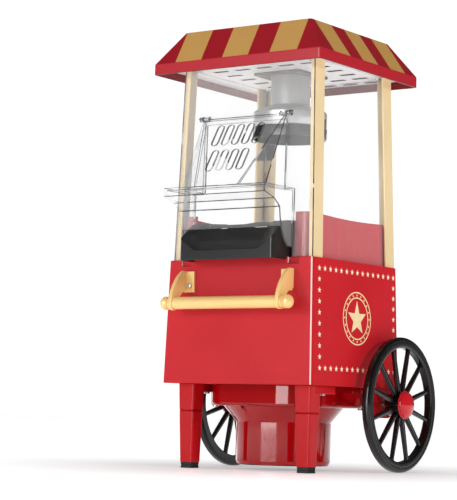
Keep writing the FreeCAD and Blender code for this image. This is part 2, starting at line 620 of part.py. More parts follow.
# ---------------------------------------------------------------- base, fan and heater
def make_base():
    rim_turn = 6.0
    k = rim_turn * (1.0 - math.sqrt(0.5))
    outer = turned([
        (0, BASE_LIFT), (BASE_RADIUS - rim_turn, BASE_LIFT), (BASE_RADIUS - k, BASE_LIFT + k),
        (BASE_RADIUS, BASE_LIFT + rim_turn), (BASE_RADIUS, CONE_BOTTOM), (CONE_RADIUS, CONE_TOP), (0, CONE_TOP),
    ])
    corner_edges = [e for e in outer.Edges if e.Closed and abs(e.CenterOfMass.z - (BASE_LIFT + k)) < 0.01]
    if corner_edges:
        outer = outer.makeFillet(3.0, corner_edges)
    pan_rect = lambda z: (-PAN_HALF_WIDTH, PAN_HALF_WIDTH, PAN_FRONT, PAN_BACK)
    pan = leaning(CONE_TOP, BODY_BOTTOM, pan_rect, PAN_CORNER)
    low_edges = [e for e in pan.Edges if abs(e.BoundBox.ZMax - CONE_TOP) < 0.01]
    pan = pan.makeFillet(3.0, low_edges)
    outer = outer.fuse(pan.fuse(upright(CONE_RADIUS, CONE_TOP, CONE_TOP + 3.0)))
    w = BASE_WALL
    inner = turned([
        (0, BASE_LIFT - 1.0), (BASE_RADIUS - w, BASE_LIFT - 1.0), (BASE_RADIUS - w, CONE_BOTTOM + 0.4 * w),
        (CONE_RADIUS - w, CONE_TOP + 0.4 * w), (CONE_RADIUS - w, CONE_TOP + w), (0, CONE_TOP + w),
    ])
    inner_rect = lambda z: (w - PAN_HALF_WIDTH, PAN_HALF_WIDTH - w, PAN_FRONT + w, PAN_BACK - w)
    hollow = leaning(CONE_TOP + w, BODY_BOTTOM - w, inner_rect, PAN_CORNER - w)
    mouth = upright(BASE_OPENING, CONE_TOP, BODY_BOTTOM + 1)
    shell = outer.cut([inner, hollow, mouth])
    shell = shell.cut([rod(CHASSIS_SHANK + FIT, (x, y, CONE_TOP - 1), (x, y, BODY_BOTTOM + 1))
                       for x, y, z in chassis_screw_places() if z == CONE_TOP])
    add("base_housing", shell)

    cover_z = BASE_LIFT + COVER_LIFT
    cover_top = cover_z + COVER_THICK
    cover = upright(BASE_RADIUS - w - FIT, cover_z, cover_top)
    slots = []
    for index in range(-3, 4):
        x = index * 9.0
        reach = math.sqrt((BASE_RADIUS - 10.0) ** 2 - x * x)
        slots.append(box(x - 1.8, x + 1.8, AXIS_Y - reach, AXIS_Y - 3, 0, cover_top + 1))
        slots.append(box(x - 1.8, x + 1.8, AXIS_Y + 3, AXIS_Y + reach, 0, cover_top + 1))
    add("base_bottom_cover", cover.cut(slots))

    post_radius = BASE_RADIUS - w - 6.0
    posts = []
    for index in range(3):
        angle = math.radians(30 + 120 * index)
        x = post_radius * math.cos(angle)
        y = AXIS_Y + post_radius * math.sin(angle)
        posts.append(rod(MOTOR_POST_RADIUS, (x, y, cover_top), (x, y, MOTOR_TOP)))
    plate = upright(BASE_RADIUS - w - FIT, MOTOR_TOP, MOTOR_TOP + MOTOR_PLATE)
    windows = []
    for index in range(3):
        angle = 90 + 120 * index
        window = box(21, 42, -17, 17, 0, FAR)
        window.rotate(Vector(0, 0, 0), Vector(0, 0, 1), angle)
        window.translate(Vector(0, AXIS_Y, 0))
        windows.append(window.common(sleeve(42, 21, 0, FAR)))
    plate = plate.cut(windows + [upright(SHAFT_RADIUS + 3.0, 0, FAR)])
    add("motor_bracket", joined([plate] + posts))

    motor = upright(MOTOR_RADIUS, MOTOR_BOTTOM, MOTOR_TOP)
    ends = [e for e in motor.Edges if e.Closed and abs(e.CenterOfMass.z - MOTOR_BOTTOM) < 0.01]
    motor = motor.makeFillet(2.0, ends)
    boss = upright(SHAFT_RADIUS + 2.8, MOTOR_TOP, MOTOR_TOP + 3.0)
    motor = motor.fuse(boss).cut(upright(SHAFT_RADIUS + RUN, MOTOR_BOTTOM + 3, FAN_BOTTOM))
    add("fan_motor", motor.removeSplitter())
    add("motor_shaft", upright(SHAFT_RADIUS, MOTOR_BOTTOM + 4, FAN_TOP + 2))

    hub = upright(FAN_HUB_RADIUS, FAN_BOTTOM, FAN_TOP)
    disc = upright(FAN_RADIUS, FAN_BOTTOM, FAN_BOTTOM + 1.5)
    blades = []
    for index in range(FAN_BLADES):
        root = FAN_HUB_RADIUS - 1.0
        blade = box(root, FAN_RADIUS - 2.0, -0.8, 0.8, FAN_BOTTOM + 1.0, FAN_TOP - 1.0)
        blade.rotate(Vector(root, 0, 0), Vector(0, 0, 1), FAN_BLADE_LEAN)
        blade.rotate(Vector(0, 0, 0), Vector(0, 0, 1), 360.0 / FAN_BLADES * index)
        blade.translate(Vector(0, AXIS_Y, 0))
        blades.append(blade)
    fan = joined([hub, disc] + blades).common(upright(FAN_RADIUS, 0, FAR))
    add("fan_impeller", fan.cut(upright(SHAFT_RADIUS, 0, FAR)))

    outer = BASE_OPENING - FIT
    bore = outer - SHROUD_WALL
    lip_z = BODY_BOTTOM + FLOOR_THICK
    shroud = sleeve(outer, SHROUD_EYE, SHROUD_Z, SHROUD_Z + SHROUD_WALL)
    skirt = sleeve(outer, bore, SHROUD_Z, BODY_BOTTOM + 6.0)
    lip = sleeve(BASE_OPENING + 3.0, bore, lip_z, lip_z + SHROUD_WALL)
    add("fan_shroud", joined([shroud, skirt, lip]))

    duct_z = SHROUD_Z + SHROUD_WALL
    duct_bore = CHAMBER_RADIUS + DUCT_GAP
    duct_outer = duct_bore + DUCT_WALL
    duct = sleeve(duct_outer, duct_bore, duct_z, CHAMBER_BOTTOM + DUCT_OVERLAP)
    shelf = sleeve(duct_bore, CHAMBER_RADIUS - 4.0, CHAMBER_BOTTOM - 1.0, CHAMBER_BOTTOM)
    add("heater_housing", joined([duct, shelf]))
    sheet_half = CHAMBER_RADIUS + DUCT_GAP / 2
    cross = [box(-sheet_half, sheet_half, -FORMER_HALF_THICK, FORMER_HALF_THICK, duct_z, duct_z + FORMER_HEIGHT)]
    cross.append(cross[0].copy())
    cross[1].rotate(Vector(0, 0, 0), Vector(0, 0, 1), 90)
    former = joined(cross)
    former.translate(Vector(0, AXIS_Y, 0))
    rings = []
    grooves = []
    for index in range(COIL_TURNS):
        centre = Vector(0, AXIS_Y, duct_z + (index + 1) * COIL_PITCH)
        rings.append(Part.makeTorus(COIL_RADIUS, COIL_WIRE, centre, Vector(0, 0, 1)))
        grooves.append(Part.makeTorus(COIL_RADIUS, COIL_WIRE + RUN, centre, Vector(0, 0, 1)))
    former = former.cut(grooves)
    add("heater_former", former)
    add("heater_coil", rings)
    stat_x = duct_outer + FIT
    add("thermostat", rod(THERMOSTAT_RADIUS, (stat_x, AXIS_Y, CONTROLS_Z), (stat_x + 7.0, AXIS_Y, CONTROLS_Z)))
    fuse_x = -duct_outer - FUSE_RADIUS - FIT / 2
    add("thermal_fuse", rod(FUSE_RADIUS, (fuse_x, AXIS_Y - FUSE_HALF, CONTROLS_Z),
                            (fuse_x, AXIS_Y + FUSE_HALF, CONTROLS_Z)))

    outer_r = CHAMBER_RADIUS
    wall = CHAMBER_WALL
    chamber = turned([
        (0, CHAMBER_BOTTOM + 8.0), (14.0, CHAMBER_BOTTOM + 3.0), (outer_r - 8.0, CHAMBER_BOTTOM),
        (outer_r, CHAMBER_BOTTOM), (outer_r, CHAMBER_TOP), (outer_r - wall, CHAMBER_TOP),
        (outer_r - wall, CHAMBER_BOTTOM + wall), (outer_r - 8.0, CHAMBER_BOTTOM + wall),
        (14.0, CHAMBER_BOTTOM + 3.0 + wall), (0, CHAMBER_BOTTOM + 8.0 + wall),
    ])
    vents = []
    for index in range(CHAMBER_VENTS):
        vent = box(outer_r - 7.4, outer_r - 2.0, -1.1, 1.1, CHAMBER_BOTTOM - 2.0, CHAMBER_BOTTOM + 4.0)
        vent.rotate(Vector(0, 0, 0), Vector(0, 0, 1), 360.0 / CHAMBER_VENTS * index)
        vent.translate(Vector(0, AXIS_Y, 0))
        vents.append(vent)
    add("popping_chamber", chamber.cut(vents))
    collar = turned([
        (outer_r + FIT, CHAMBER_TOP - 6.0), (outer_r + 3.0, CHAMBER_TOP - 6.0), (outer_r + 3.0, CHAMBER_TOP - 1.0),
        (outer_r + 7.0, CHAMBER_TOP + 1.5), (outer_r + 7.0, CHAMBER_TOP + 4.0), (outer_r - wall, CHAMBER_TOP + 4.0),
        (outer_r - wall, CHAMBER_TOP), (outer_r + FIT, CHAMBER_TOP),
    ])
    add("chamber_collar", collar)


# ---------------------------------------------------------------- electrics on the back wall
def make_electrics():
    face_y = half_depth(SWITCH_Z)
    hw = SWITCH_HALF_WIDTH - FIT
    hh = SWITCH_HALF_HEIGHT - FIT
    low_y = half_depth(SWITCH_Z - SWITCH_HALF_HEIGHT - BEZEL_BORDER)
    frame = box(SWITCH_X - hw - BEZEL_BORDER, SWITCH_X + hw + BEZEL_BORDER, low_y, low_y + 2.0,
                SWITCH_Z - hh - BEZEL_BORDER, SWITCH_Z + hh + BEZEL_BORDER)
    can = box(SWITCH_X - hw, SWITCH_X + hw, face_y - SWITCH_DEPTH, low_y + 2.0, SWITCH_Z - hh, SWITCH_Z + hh)
    well_w = hw - SWITCH_WALL
    well_h = hh - SWITCH_WALL
    well = box(SWITCH_X - well_w, SWITCH_X + well_w, face_y - SWITCH_DEPTH + 3.0, low_y + 3.0,
               SWITCH_Z - well_h, SWITCH_Z + well_h)
    pin_y = low_y - 3.0
    pin_hole = rod(SWITCH_PIN_RADIUS, (SWITCH_X - hw - 1, pin_y, SWITCH_Z), (SWITCH_X + hw + 1, pin_y, SWITCH_Z))
    add("switch_bezel", joined([frame, can]).cut([well, pin_hole]))
    half_gap = well_w - 0.3
    centre_y = pin_y - 4.5
    rocker = rod(ROCKER_RADIUS, (SWITCH_X - half_gap, centre_y, SWITCH_Z),
                 (SWITCH_X + half_gap, centre_y, SWITCH_Z))
    tall = well_h - 0.9
    rocker = rocker.common(box(0, FAR, pin_y - SWITCH_PIN_RADIUS, FAR, SWITCH_Z - tall, SWITCH_Z + tall))
    pin = rod(SWITCH_PIN_RADIUS - RUN, (SWITCH_X - hw, pin_y, SWITCH_Z), (SWITCH_X + hw, pin_y, SWITCH_Z))
    rocker = joined([rocker, pin])
    rocker.rotate(Vector(SWITCH_X, pin_y, SWITCH_Z), Vector(1, 0, 0), -ROCKER_TILT)
    add("rocker_switch", rocker)

    gland_y = half_depth(GLAND_Z - GLAND_RADIUS - 2.5)
    gland = rod(GLAND_RADIUS - FIT, (GLAND_X, gland_y - 8.0, GLAND_Z), (GLAND_X, gland_y + 0.5, GLAND_Z))
    flange = rod(GLAND_RADIUS + 2.5, (GLAND_X, gland_y, GLAND_Z), (GLAND_X, gland_y + 3.0, GLAND_Z))
    rim = [e for e in flange.Edges if e.Closed and abs(e.CenterOfMass.y - gland_y - 3.0) < 0.01]
    flange = flange.makeFillet(1.2, rim)
    add("cord_gland", joined([gland, flange]).cut(rod(GLAND_BORE, (GLAND_X, 0, GLAND_Z), (GLAND_X, FAR, GLAND_Z))))

    floor_z = BODY_BOTTOM + FLOOR_THICK
    board_z = floor_z + 3.0
    board_top = board_z + 1.6
    board = box(-66, -30, 52, 76, board_z, board_top)
    spacers = [rod(2.0, (x, y, floor_z), (x, y, board_z)) for x in (-63, -33) for y in (55, 73)]
    mounted = [box(-60, -52, 58, 70, board_top, board_top + 8.4),
               rod(4.0, (-42, 64, board_top), (-42, 64, board_top + 10.4))]
    add("motor_supply_board", joined([board] + spacers + mounted))


# ---------------------------------------------------------------- cabinet
def make_posts():
    low = BODY_TOP
    high = CEILING
    for side, name in ((-1, "left"), (1, "right")):
        def x_span(z, outer_inset, inner_inset):
            a = side * (half_width(z) - outer_inset)
            b = side * (half_width(z) - inner_inset)
            return (min(a, b), max(a, b))

        front_face = FRONT_PANEL_INSET + PANEL_THICK + FIT
        side_leg = leaning(low, high, lambda z: x_span(z, POST_INSET, POST_INSET + POST_WALL) + (
            front_face - half_depth(z), front_face + POST_SIDE_LEG - half_depth(z)))
        front_leg = leaning(low, high, lambda z: x_span(z, POST_INSET, POST_INSET + POST_FRONT_LEG) + (
            front_face - half_depth(z), front_face + POST_WALL - half_depth(z)))
        add("post_front_" + name, joined([side_leg, front_leg]))
        side_leg = leaning(low, high, lambda z: x_span(z, POST_INSET, POST_INSET + POST_WALL) + (
            half_depth(z) - POST_INSET - POST_SIDE_LEG, half_depth(z) - POST_INSET))
        back_leg = leaning(low, high, lambda z: x_span(z, POST_INSET, POST_INSET + POST_BACK_LEG) + (
            half_depth(z) - POST_INSET - POST_WALL, half_depth(z) - POST_INSET))
        add("post_rear_" + name, joined([side_leg, back_leg]))

        panel_front = front_face + POST_WALL + FIT
        panel_back = POST_INSET + POST_WALL + FIT
        outer_inset = POST_INSET + POST_WALL + FIT
        add("side_panel_" + name, leaning(low, high, lambda z: x_span(z, outer_inset, outer_inset + PANEL_THICK) + (
            panel_front - half_depth(z), half_depth(z) - panel_back)))
    inner = POST_INSET + POST_WALL + PANEL_THICK + 2 * FIT
    back_inset = POST_INSET + POST_WALL + FIT
    add("back_panel", leaning(low, high, lambda z: (
        inner - half_width(z), half_width(z) - inner,
        half_depth(z) - back_inset - PANEL_THICK, half_depth(z) - back_inset)))


def panel_face(z):
    """Outer face of the clear front panel at height z."""
    return FRONT_PANEL_INSET - half_depth(z)


def on_hinge(radius, x0, x1):
    """Rod on the door's hinge line between two distances from the middle."""
    return rod(radius, (x0, HINGE_Y, DOOR_HINGE_Z), (x1, HINGE_Y, DOOR_HINGE_Z))


def make_front_panel():
    panel = leaning(BODY_TOP, CEILING, lambda z: (
        POST_INSET - half_width(z), half_width(z) - POST_INSET, panel_face(z), panel_face(z) + PANEL_THICK))
    upper = box(-OPENING_HALF_WIDTH, OPENING_HALF_WIDTH, -FAR, 0, DOOR_LIP_Z - 1, DOOR_HINGE_Z - 6.0)
    lower = box(-LOWER_HALF_WIDTH, LOWER_HALF_WIDTH, -FAR, 0, BODY_TOP - 1, DOOR_LIP_Z)
    panel = panel.cut([upper, lower])
    for side in (-1, 1):
        x = side * (DOOR_HALF_WIDTH + SWING + LUG_HALF)
        lug = on_hinge(HINGE_BARREL_RADIUS, x - LUG_HALF, x + LUG_HALF)
        web = box(x - LUG_HALF, x + LUG_HALF, HINGE_Y, panel_face(DOOR_HINGE_Z) + 1.0,
                  DOOR_HINGE_Z - HINGE_BARREL_RADIUS, DOOR_HINGE_Z + HINGE_BARREL_RADIUS)
        panel = panel.fuse(lug).fuse(web)
    end = DOOR_HALF_WIDTH + SWING + 2 * LUG_HALF
    panel = panel.cut(on_hinge(HINGE_PIN_RADIUS, -end - 1, end + 1))
    add("front_panel", panel.removeSplitter())
    pin_start = DOOR_HALF_WIDTH - HINGE_BARREL_LENGTH + 1.0
    pins = [on_hinge(HINGE_PIN_RADIUS, *sorted((side * pin_start, side * (end + 1.0)))) for side in (-1, 1)]
    add("door_hinge_pins", pins)


def hood(shrink):
    """Faceted hood between the hinge and the lip, moved inwards by shrink."""
    s = shrink
    top = DOOR_HINGE_Z - s
    low = DOOR_LIP_Z - (0.5 if s else 0.0)
    back = 0.0
    top_y = HINGE_Y + 0.6 * s
    facet = FACET_TOP_HALF - 1.2 * s
    upper = [
        (s - DOOR_HALF_WIDTH, back, top), (s - DOOR_HALF_WIDTH, top_y, top), (-facet, top_y, top),
        (facet, top_y, top), (DOOR_HALF_WIDTH - s, top_y, top), (DOOR_HALF_WIDTH - s, back, top),
    ]
    lower = [
        (s - DOOR_HALF_WIDTH, back, low), (s - DOOR_HALF_WIDTH, SIDE_LOW_Y + s, low),
        (-FACET_LOW_HALF, FACET_LOW_Y + 1.15 * s, low), (FACET_LOW_HALF, FACET_LOW_Y + 1.15 * s, low),
        (DOOR_HALF_WIDTH - s, SIDE_LOW_Y + s, low), (DOOR_HALF_WIDTH - s, back, low),
    ]
    return Part.makeLoft([polygon_wire(upper), polygon_wire(lower)], True, True)


def make_door():
    w = DOOR_WALL
    upper = hood(0.0).cut(hood(w))
    slots = []
    slot_back = HINGE_Y - 2.5
    for (low_z, high_z), offsets in SLOT_ROWS:
        low_z += SLOT_HALF
        high_z -= SLOT_HALF
        for offset in offsets:
            x = offset * SLOT_PITCH
            slots.append(box(x - SLOT_HALF, x + SLOT_HALF, -FAR, slot_back, low_z, high_z))
            slots += [rod(SLOT_HALF, (x, -FAR, z), (x, slot_back, z)) for z in (low_z, high_z)]
    upper = upper.cut(joined(slots))

    lip_w = DOOR_LIP_HALF_WIDTH
    lip_low = DOOR_LIP_Z - DOOR_LIP_HEIGHT
    lip = box(-lip_w, lip_w, DOOR_LIP_FRONT, 0, lip_low, DOOR_LIP_Z)
    lip = lip.cut(box(w - lip_w, lip_w - w, DOOR_LIP_FRONT + w, 1, lip_low - 1, DOOR_LIP_Z - w))
    throat = leaning(DOOR_LIP_Z - w - 1, DOOR_LIP_Z + 1, lambda z: (
        w - DOOR_HALF_WIDTH, DOOR_HALF_WIDTH - w, SIDE_LOW_Y + w, 1))
    lip = lip.cut(throat)

    def lower_profile(inset):
        i = inset
        return [
            Vector(0, 0, lip_low), Vector(0, DOOR_LIP_FRONT + i * 1.6, lip_low),
            Vector(0, LOWER_WALL_Y - 10.0 + i, lip_low - 5.0 + 0.4 * i),
            Vector(0, LOWER_WALL_Y + i, lip_low - 12.0),
            Vector(0, LOWER_WALL_Y + 1.5 + i, LOWER_WALL_BOTTOM + 8.0),
            Vector(0, LOWER_WALL_Y + 8.0, CHEEK_BOTTOM + 9.0),
            Vector(0, LOWER_WALL_Y + 16.0, CHEEK_BOTTOM), Vector(0, 0, CHEEK_BOTTOM),
        ]

    def lower_solid(inset, half):
        points = lower_profile(inset)
        face = Part.Face(Part.makePolygon(points + [points[0]]))
        face.translate(Vector(-half, 0, 0))
        return face.extrude(Vector(2 * half, 0, 0))

    outer = lower_solid(0.0, lip_w)
    inner = lower_solid(w, lip_w - w).fuse(box(w - lip_w, lip_w - w, -FAR, 1, 0, LOWER_WALL_BOTTOM))
    inner = inner.fuse(box(w - lip_w, lip_w - w, DOOR_LIP_FRONT + w, 1, lip_low - 0.1, lip_low + 1))
    lower = outer.cut(inner)

    barrel_start = DOOR_HALF_WIDTH - HINGE_BARREL_LENGTH
    barrels = [on_hinge(HINGE_BARREL_RADIUS, *sorted((side * DOOR_HALF_WIDTH, side * barrel_start)))
               for side in (-1, 1)]
    keep = leaning(CHEEK_BOTTOM - 5, DOOR_HINGE_Z, lambda z: (-FAR, FAR, -FAR, panel_face(z) - FIT * 1.5))
    door = joined([joined([upper, lip, lower]).common(keep)] + barrels)
    for side in (-1, 1):
        hole = sorted((side * (DOOR_HALF_WIDTH + 1.0), side * (barrel_start - 1.0)))
        door = door.cut(on_hinge(HINGE_PIN_RADIUS + RUN, *hole))
    biggest = max(door.Solids, key=lambda solid: solid.Volume)
    add("flap_door", biggest)


def make_chute():
    half = CHUTE_HALF_WIDTH
    back = CHUTE_BACK
    step_y = -half_depth(BODY_TOP) - PLATE_THICK - FIT - 0.6
    low = BODY_TOP - CHUTE_OVERHANG
    seat = BODY_TOP
    lip_top = low + CHUTE_LIP_HEIGHT
    ramp_y = CHUTE_BEND_Y
    ramp_rise = CHUTE_STEEP_RISE
    inner_rise = CHUTE_GENTLE_RISE
    cheek = half - CHUTE_CHEEK
    side_top = [
        Vector(-half, CHUTE_FRONT, lip_top + CHUTE_CHEEK_RISE), Vector(-half, CHUTE_FRONT + 11.0, lip_top + 20.5),
        Vector(-half, ramp_y, lip_top + ramp_rise + 2.0),
    ]
    edges = [
        Part.LineSegment(Vector(-half, back, seat), Vector(-half, step_y, seat)).toShape(),
        Part.LineSegment(Vector(-half, step_y, seat), Vector(-half, step_y, low)).toShape(),
        Part.LineSegment(Vector(-half, step_y, low), Vector(-half, CHUTE_FRONT, low)).toShape(),
        Part.LineSegment(Vector(-half, CHUTE_FRONT, low), side_top[0]).toShape(),
        Part.Arc(side_top[0], side_top[1], side_top[2]).toShape(),
        Part.LineSegment(side_top[2], Vector(-half, back, lip_top + 32.0)).toShape(),
        Part.LineSegment(Vector(-half, back, lip_top + 32.0), Vector(-half, back, seat)).toShape(),
    ]
    block = Part.Face(Part.Wire(edges)).extrude(Vector(2 * half, 0, 0))
    corners = [e for e in block.Edges if abs(abs(e.CenterOfMass.x) - half) < 0.01
               and abs(e.CenterOfMass.y - CHUTE_FRONT) < 0.01 and abs(e.BoundBox.ZMax - e.BoundBox.ZMin) > 5.0]
    block = block.makeChamfer(2.5, corners)
    section = [
        (-CHUTE_FLOOR_HALF, CHUTE_FRONT, lip_top), (CHUTE_FLOOR_HALF, CHUTE_FRONT, lip_top),
        (cheek, CHUTE_FRONT, lip_top + CHUTE_CHEEK_RISE), (cheek, CHUTE_FRONT, lip_top + 60.0),
        (-cheek, CHUTE_FRONT, lip_top + 60.0), (-cheek, CHUTE_FRONT, lip_top + CHUTE_CHEEK_RISE),
    ]
    run = ramp_y - CHUTE_FRONT
    before = [(x, y - run * 0.2, z - ramp_rise * 0.2) for x, y, z in section]
    steep = extruded(before, (0, run * 1.2, ramp_rise * 1.2))
    after = [(x, ramp_y, z + ramp_rise) for x, y, z in section]
    gentle = extruded(after, (0, back - ramp_y + 1.0, inner_rise * (back - ramp_y + 1.0) / (back - ramp_y)))
    clear_front = box(-FAR, FAR, -FAR, CHUTE_FRONT, 0, lip_top)
    steep = steep.cut(clear_front)
    under = lip_top - 4.0
    hollow_face = [
        (0, CHUTE_FRONT + CHUTE_WALL, low - 1), (0, CHUTE_FRONT + CHUTE_WALL, under),
        (0, ramp_y + 1.0, under + ramp_rise),
        (0, back + 1.0, under + ramp_rise + inner_rise), (0, back + 1.0, low - 1),
    ]
    hollow_half = half - CHUTE_WALL
    hollow = extruded(hollow_face, (2 * hollow_half, 0, 0))
    hollow.translate(Vector(-hollow_half, 0, 0))
    add("popcorn_chute", block.cut([steep, gentle, hollow]))


def make_tub():
    inset = POST_INSET + POST_WALL + PANEL_THICK + 3 * FIT
    front_inset = FRONT_PANEL_INSET + PANEL_THICK + POST_WALL + 3 * FIT
    floor_z = BODY_TOP + FLOOR_THICK
    top = BODY_TOP + TUB_HEIGHT

    def rect(extra):
        return lambda z: (inset + extra - half_width(z), half_width(z) - inset - extra,
                          front_inset + extra - half_depth(z), half_depth(z) - inset - extra)

    tub = leaning(BODY_TOP, top, rect(0.0), TUB_CORNER)
    tub = tub.cut(leaning(floor_z, top + 1, rect(TUB_WALL), TUB_CORNER - TUB_WALL))
    chord = half_depth(top)
    radius = (chord * chord + TUB_DIP * TUB_DIP) / (2 * TUB_DIP)
    sag_z = top + radius - TUB_DIP
    tub = tub.cut(rod(radius, (-FAR, 0, sag_z), (FAR, 0, sag_z)))
    tub = tub.cut([
        box(-LOWER_HALF_WIDTH, LOWER_HALF_WIDTH, -FAR, -60, floor_z, top + 10),
        box(-CHUTE_HALF_WIDTH - FIT, CHUTE_HALF_WIDTH + FIT, -FAR, CHUTE_BACK + FIT, BODY_TOP - 1, floor_z + 1),
        upright(CHAMBER_RADIUS + 3.0 + FIT, BODY_TOP - 1, floor_z + 1),
    ])
    add("cabinet_tub", tub)


# ---------------------------------------------------------------- roof, ceiling and kettle
def boss_places():
    """Centres of the four screws that hold the canopy and ceiling to the posts."""
    x = half_width(CEILING) - POST_INSET - POST_WALL - PANEL_THICK - 6.0
    y_front = half_depth(CEILING) - FRONT_PANEL_INSET - PANEL_THICK - POST_WALL - 7.0
    y_back = half_depth(CEILING) - POST_INSET - POST_WALL - PANEL_THICK - 6.0
    return [(sx * x, y) for sx in (-1, 1) for y in (-y_front, y_back)]


def make_roof():
    cy = ROOF_SHIFT_Y

    def frustum(shrink, drop):
        low = rounded_wire(shrink - ROOF_HALF_WIDTH, ROOF_HALF_WIDTH - shrink, cy - ROOF_HALF_DEPTH + shrink,
                           cy + ROOF_HALF_DEPTH - shrink, ROOF_CORNER, FASCIA_TOP - drop)
        high = rounded_wire(shrink - ROOF_TOP_HALF_WIDTH, ROOF_TOP_HALF_WIDTH - shrink,
                            cy - ROOF_TOP_HALF_DEPTH + shrink, cy + ROOF_TOP_HALF_DEPTH - shrink, ROOF_CORNER,
                            ROOF_TOP - drop)
        return Part.makeLoft([low, high], True, True)

    fascia_rect = lambda inset: lambda z: (
        inset - ROOF_HALF_WIDTH, ROOF_HALF_WIDTH - inset,
        cy - ROOF_HALF_DEPTH + inset, cy + ROOF_HALF_DEPTH - inset)
    fascia = leaning(FASCIA_BOTTOM, FASCIA_TOP, fascia_rect(0.0), ROOF_CORNER)
    solid_roof = fascia.fuse(frustum(0.0, 0.0))
    inner = leaning(FASCIA_BOTTOM - 1, FASCIA_TOP, fascia_rect(ROOF_WALL), ROOF_CORNER)
    inner = inner.fuse(frustum(ROOF_WALL, ROOF_WALL / 2).common(box(-FAR, FAR, -FAR, FAR, 0, ROOF_TOP - ROOF_WALL)))
    roof = solid_roof.cut([inner, upright(KERNEL_HOLE, ROOF_TOP - 5, ROOF_TOP + 5)])
    bosses = []
    for x, y in boss_places():
        boss = pipe(BOSS_RADIUS, CEILING_SHANK, (x, y, CEILING + CEILING_THICK), (x, y, ROOF_TOP - 1.0))
        bosses.append(boss.common(solid_roof))
    add("roof_canopy", joined([roof] + bosses))

    plate_rect = fascia_rect(ROOF_WALL + FIT)
    plate = leaning(CEILING, CEILING + CEILING_THICK, plate_rect, ROOF_CORNER)
    through = upright(KERNEL_HOLE, 0, ROOF_TOP + FAR)
    tools = [through]
    tools += [rod(CEILING_SHANK + FIT, (x, y, 0), (x, y, ROOF_TOP)) for x, y in boss_places()]
    for row in range(-3, 4):
        y = AXIS_Y + row * CEILING_SLOT_PITCH_Y
        for column in range(-2, 3):
            x = column * CEILING_SLOT_PITCH_X
            clear_of_tube = math.hypot(x, y - AXIS_Y) > KETTLE_MOUNT_HALF + 14.0
            clear_of_boss = all(math.hypot(x - bx, y - by) > 16.0 for bx, by in boss_places())
            if clear_of_tube and clear_of_boss:
                tools.append(box(x - CEILING_SLOT_HALF, x + CEILING_SLOT_HALF,
                                 y - CEILING_SLOT_HALF_WIDTH, y + CEILING_SLOT_HALF_WIDTH, 0, ROOF_TOP))
    add("ceiling_plate", plate.cut(tools))
    add("ceiling_screws", [screw(3.4, 2.0, CEILING_SHANK, CEILING_THICK + 10.0, (x, y, CEILING), (0, 0, -1))
                           for x, y in boss_places()])

    m = KETTLE_MOUNT_HALF
    mount = box(-m, m, AXIS_Y - m, AXIS_Y + m, CEILING - KETTLE_MOUNT_DROP, CEILING)
    mount = mount.makeFillet(4.0, [e for e in mount.Edges if e.BoundBox.ZLength > KETTLE_MOUNT_DROP / 2])
    add("kettle_mount", mount.cut(through))

    add("kernel_tube", sleeve(TUBE_RADIUS, TUBE_RADIUS - TUBE_WALL, TUBE_BOTTOM - 2.0, ROOF_TOP - 1.0))
    k = KETTLE_WALL
    r = KETTLE_RADIUS
    pot = turned([
        (r - 1.0, KETTLE_BOTTOM), (r, KETTLE_BOTTOM + 1.0), (r, KETTLE_BOTTOM + 11.0),
        (r - 0.8, KETTLE_BOTTOM + 12.0),
        (r - 0.8, KETTLE_BOTTOM + 13.0), (r, KETTLE_BOTTOM + 14.0), (r, KETTLE_TOP),
        (r - 3.0, KETTLE_TOP + 4.0), (TUBE_RADIUS + 6.0, TUBE_BOTTOM - 1.0), (TUBE_RADIUS + FIT, TUBE_BOTTOM),
        (TUBE_RADIUS + FIT, TUBE_BOTTOM - 2.0 - k), (TUBE_RADIUS + 5.0, TUBE_BOTTOM - 3.2),
        (r - 4.6, KETTLE_TOP + 2.6),
        (r - k, KETTLE_TOP - 1.0), (r - k - 0.8, KETTLE_BOTTOM),
    ])
    add("kettle", pot)
    lugs = []
    for side in (-1, 1):
        pad = box(*sorted((side * (r - 4.0), side * (r + 3.0))), AXIS_Y - 5.0, AXIS_Y + 5.0,
                  KETTLE_BOTTOM + 2.0, KETTLE_BOTTOM + 20.0)
        hook = box(*sorted((side * (r + 1.0), side * (r + 6.0))), AXIS_Y - 2.5, AXIS_Y + 2.5,
                   KETTLE_BOTTOM + 4.0, KETTLE_BOTTOM + 9.0)
        lug = joined([pad, hook]).cut(upright(r, 0, ROOF_TOP))
        lugs.append(lug)
    add("kettle_lugs", lugs)

    top = ROOF_TOP + CAP_TOP_HEIGHT
    rim = CAP_TOP_RADIUS
    skirt = CAP_SKIRT_RADIUS
    skirt_z = ROOF_TOP - CAP_SKIRT_DEPTH
    cap = turned([
        (0, top), (rim - 4.0, top), (rim - 1.0, top - 2.5), (rim, ROOF_TOP), (rim - CAP_WALL, ROOF_TOP),
        (rim - CAP_WALL - 1.0, top - 3.0), (skirt, top - CAP_WALL), (skirt - 1.0, skirt_z),
        (skirt - 1.0 - CAP_WALL, skirt_z), (skirt - CAP_WALL, top - 4.0), (0, top - 4.0),
    ])
    grip_top = ROOF_TOP + GRIP_TOP
    grip = box(-GRIP_HALF, GRIP_HALF, AXIS_Y - 2.0, AXIS_Y + 2.0, top - 0.5, grip_top)
    crest = [e for e in grip.Edges if e.BoundBox.XLength > GRIP_HALF and e.CenterOfMass.z > grip_top - 1.0]
    grip = grip.makeFillet(1.6, crest)
    add("measuring_cap", joined([cap, grip]))


# ---------------------------------------------------------------- fasteners
def make_fasteners():
    screws = []
    for x, y, z in chassis_screw_places():
        length = BODY_BOTTOM + FLOOR_THICK + 2.5 - z
        screws.append(screw(3.0, 1.8, CHASSIS_SHANK, length, (x, y, z), (0, 0, -1)))
    add("chassis_screws", screws)


make_body()
make_legs()
make_wheels()
make_handle()
make_base()
make_electrics()
make_posts()
make_front_panel()
make_door()
make_chute()
make_tub()
make_roof()
make_fasteners()

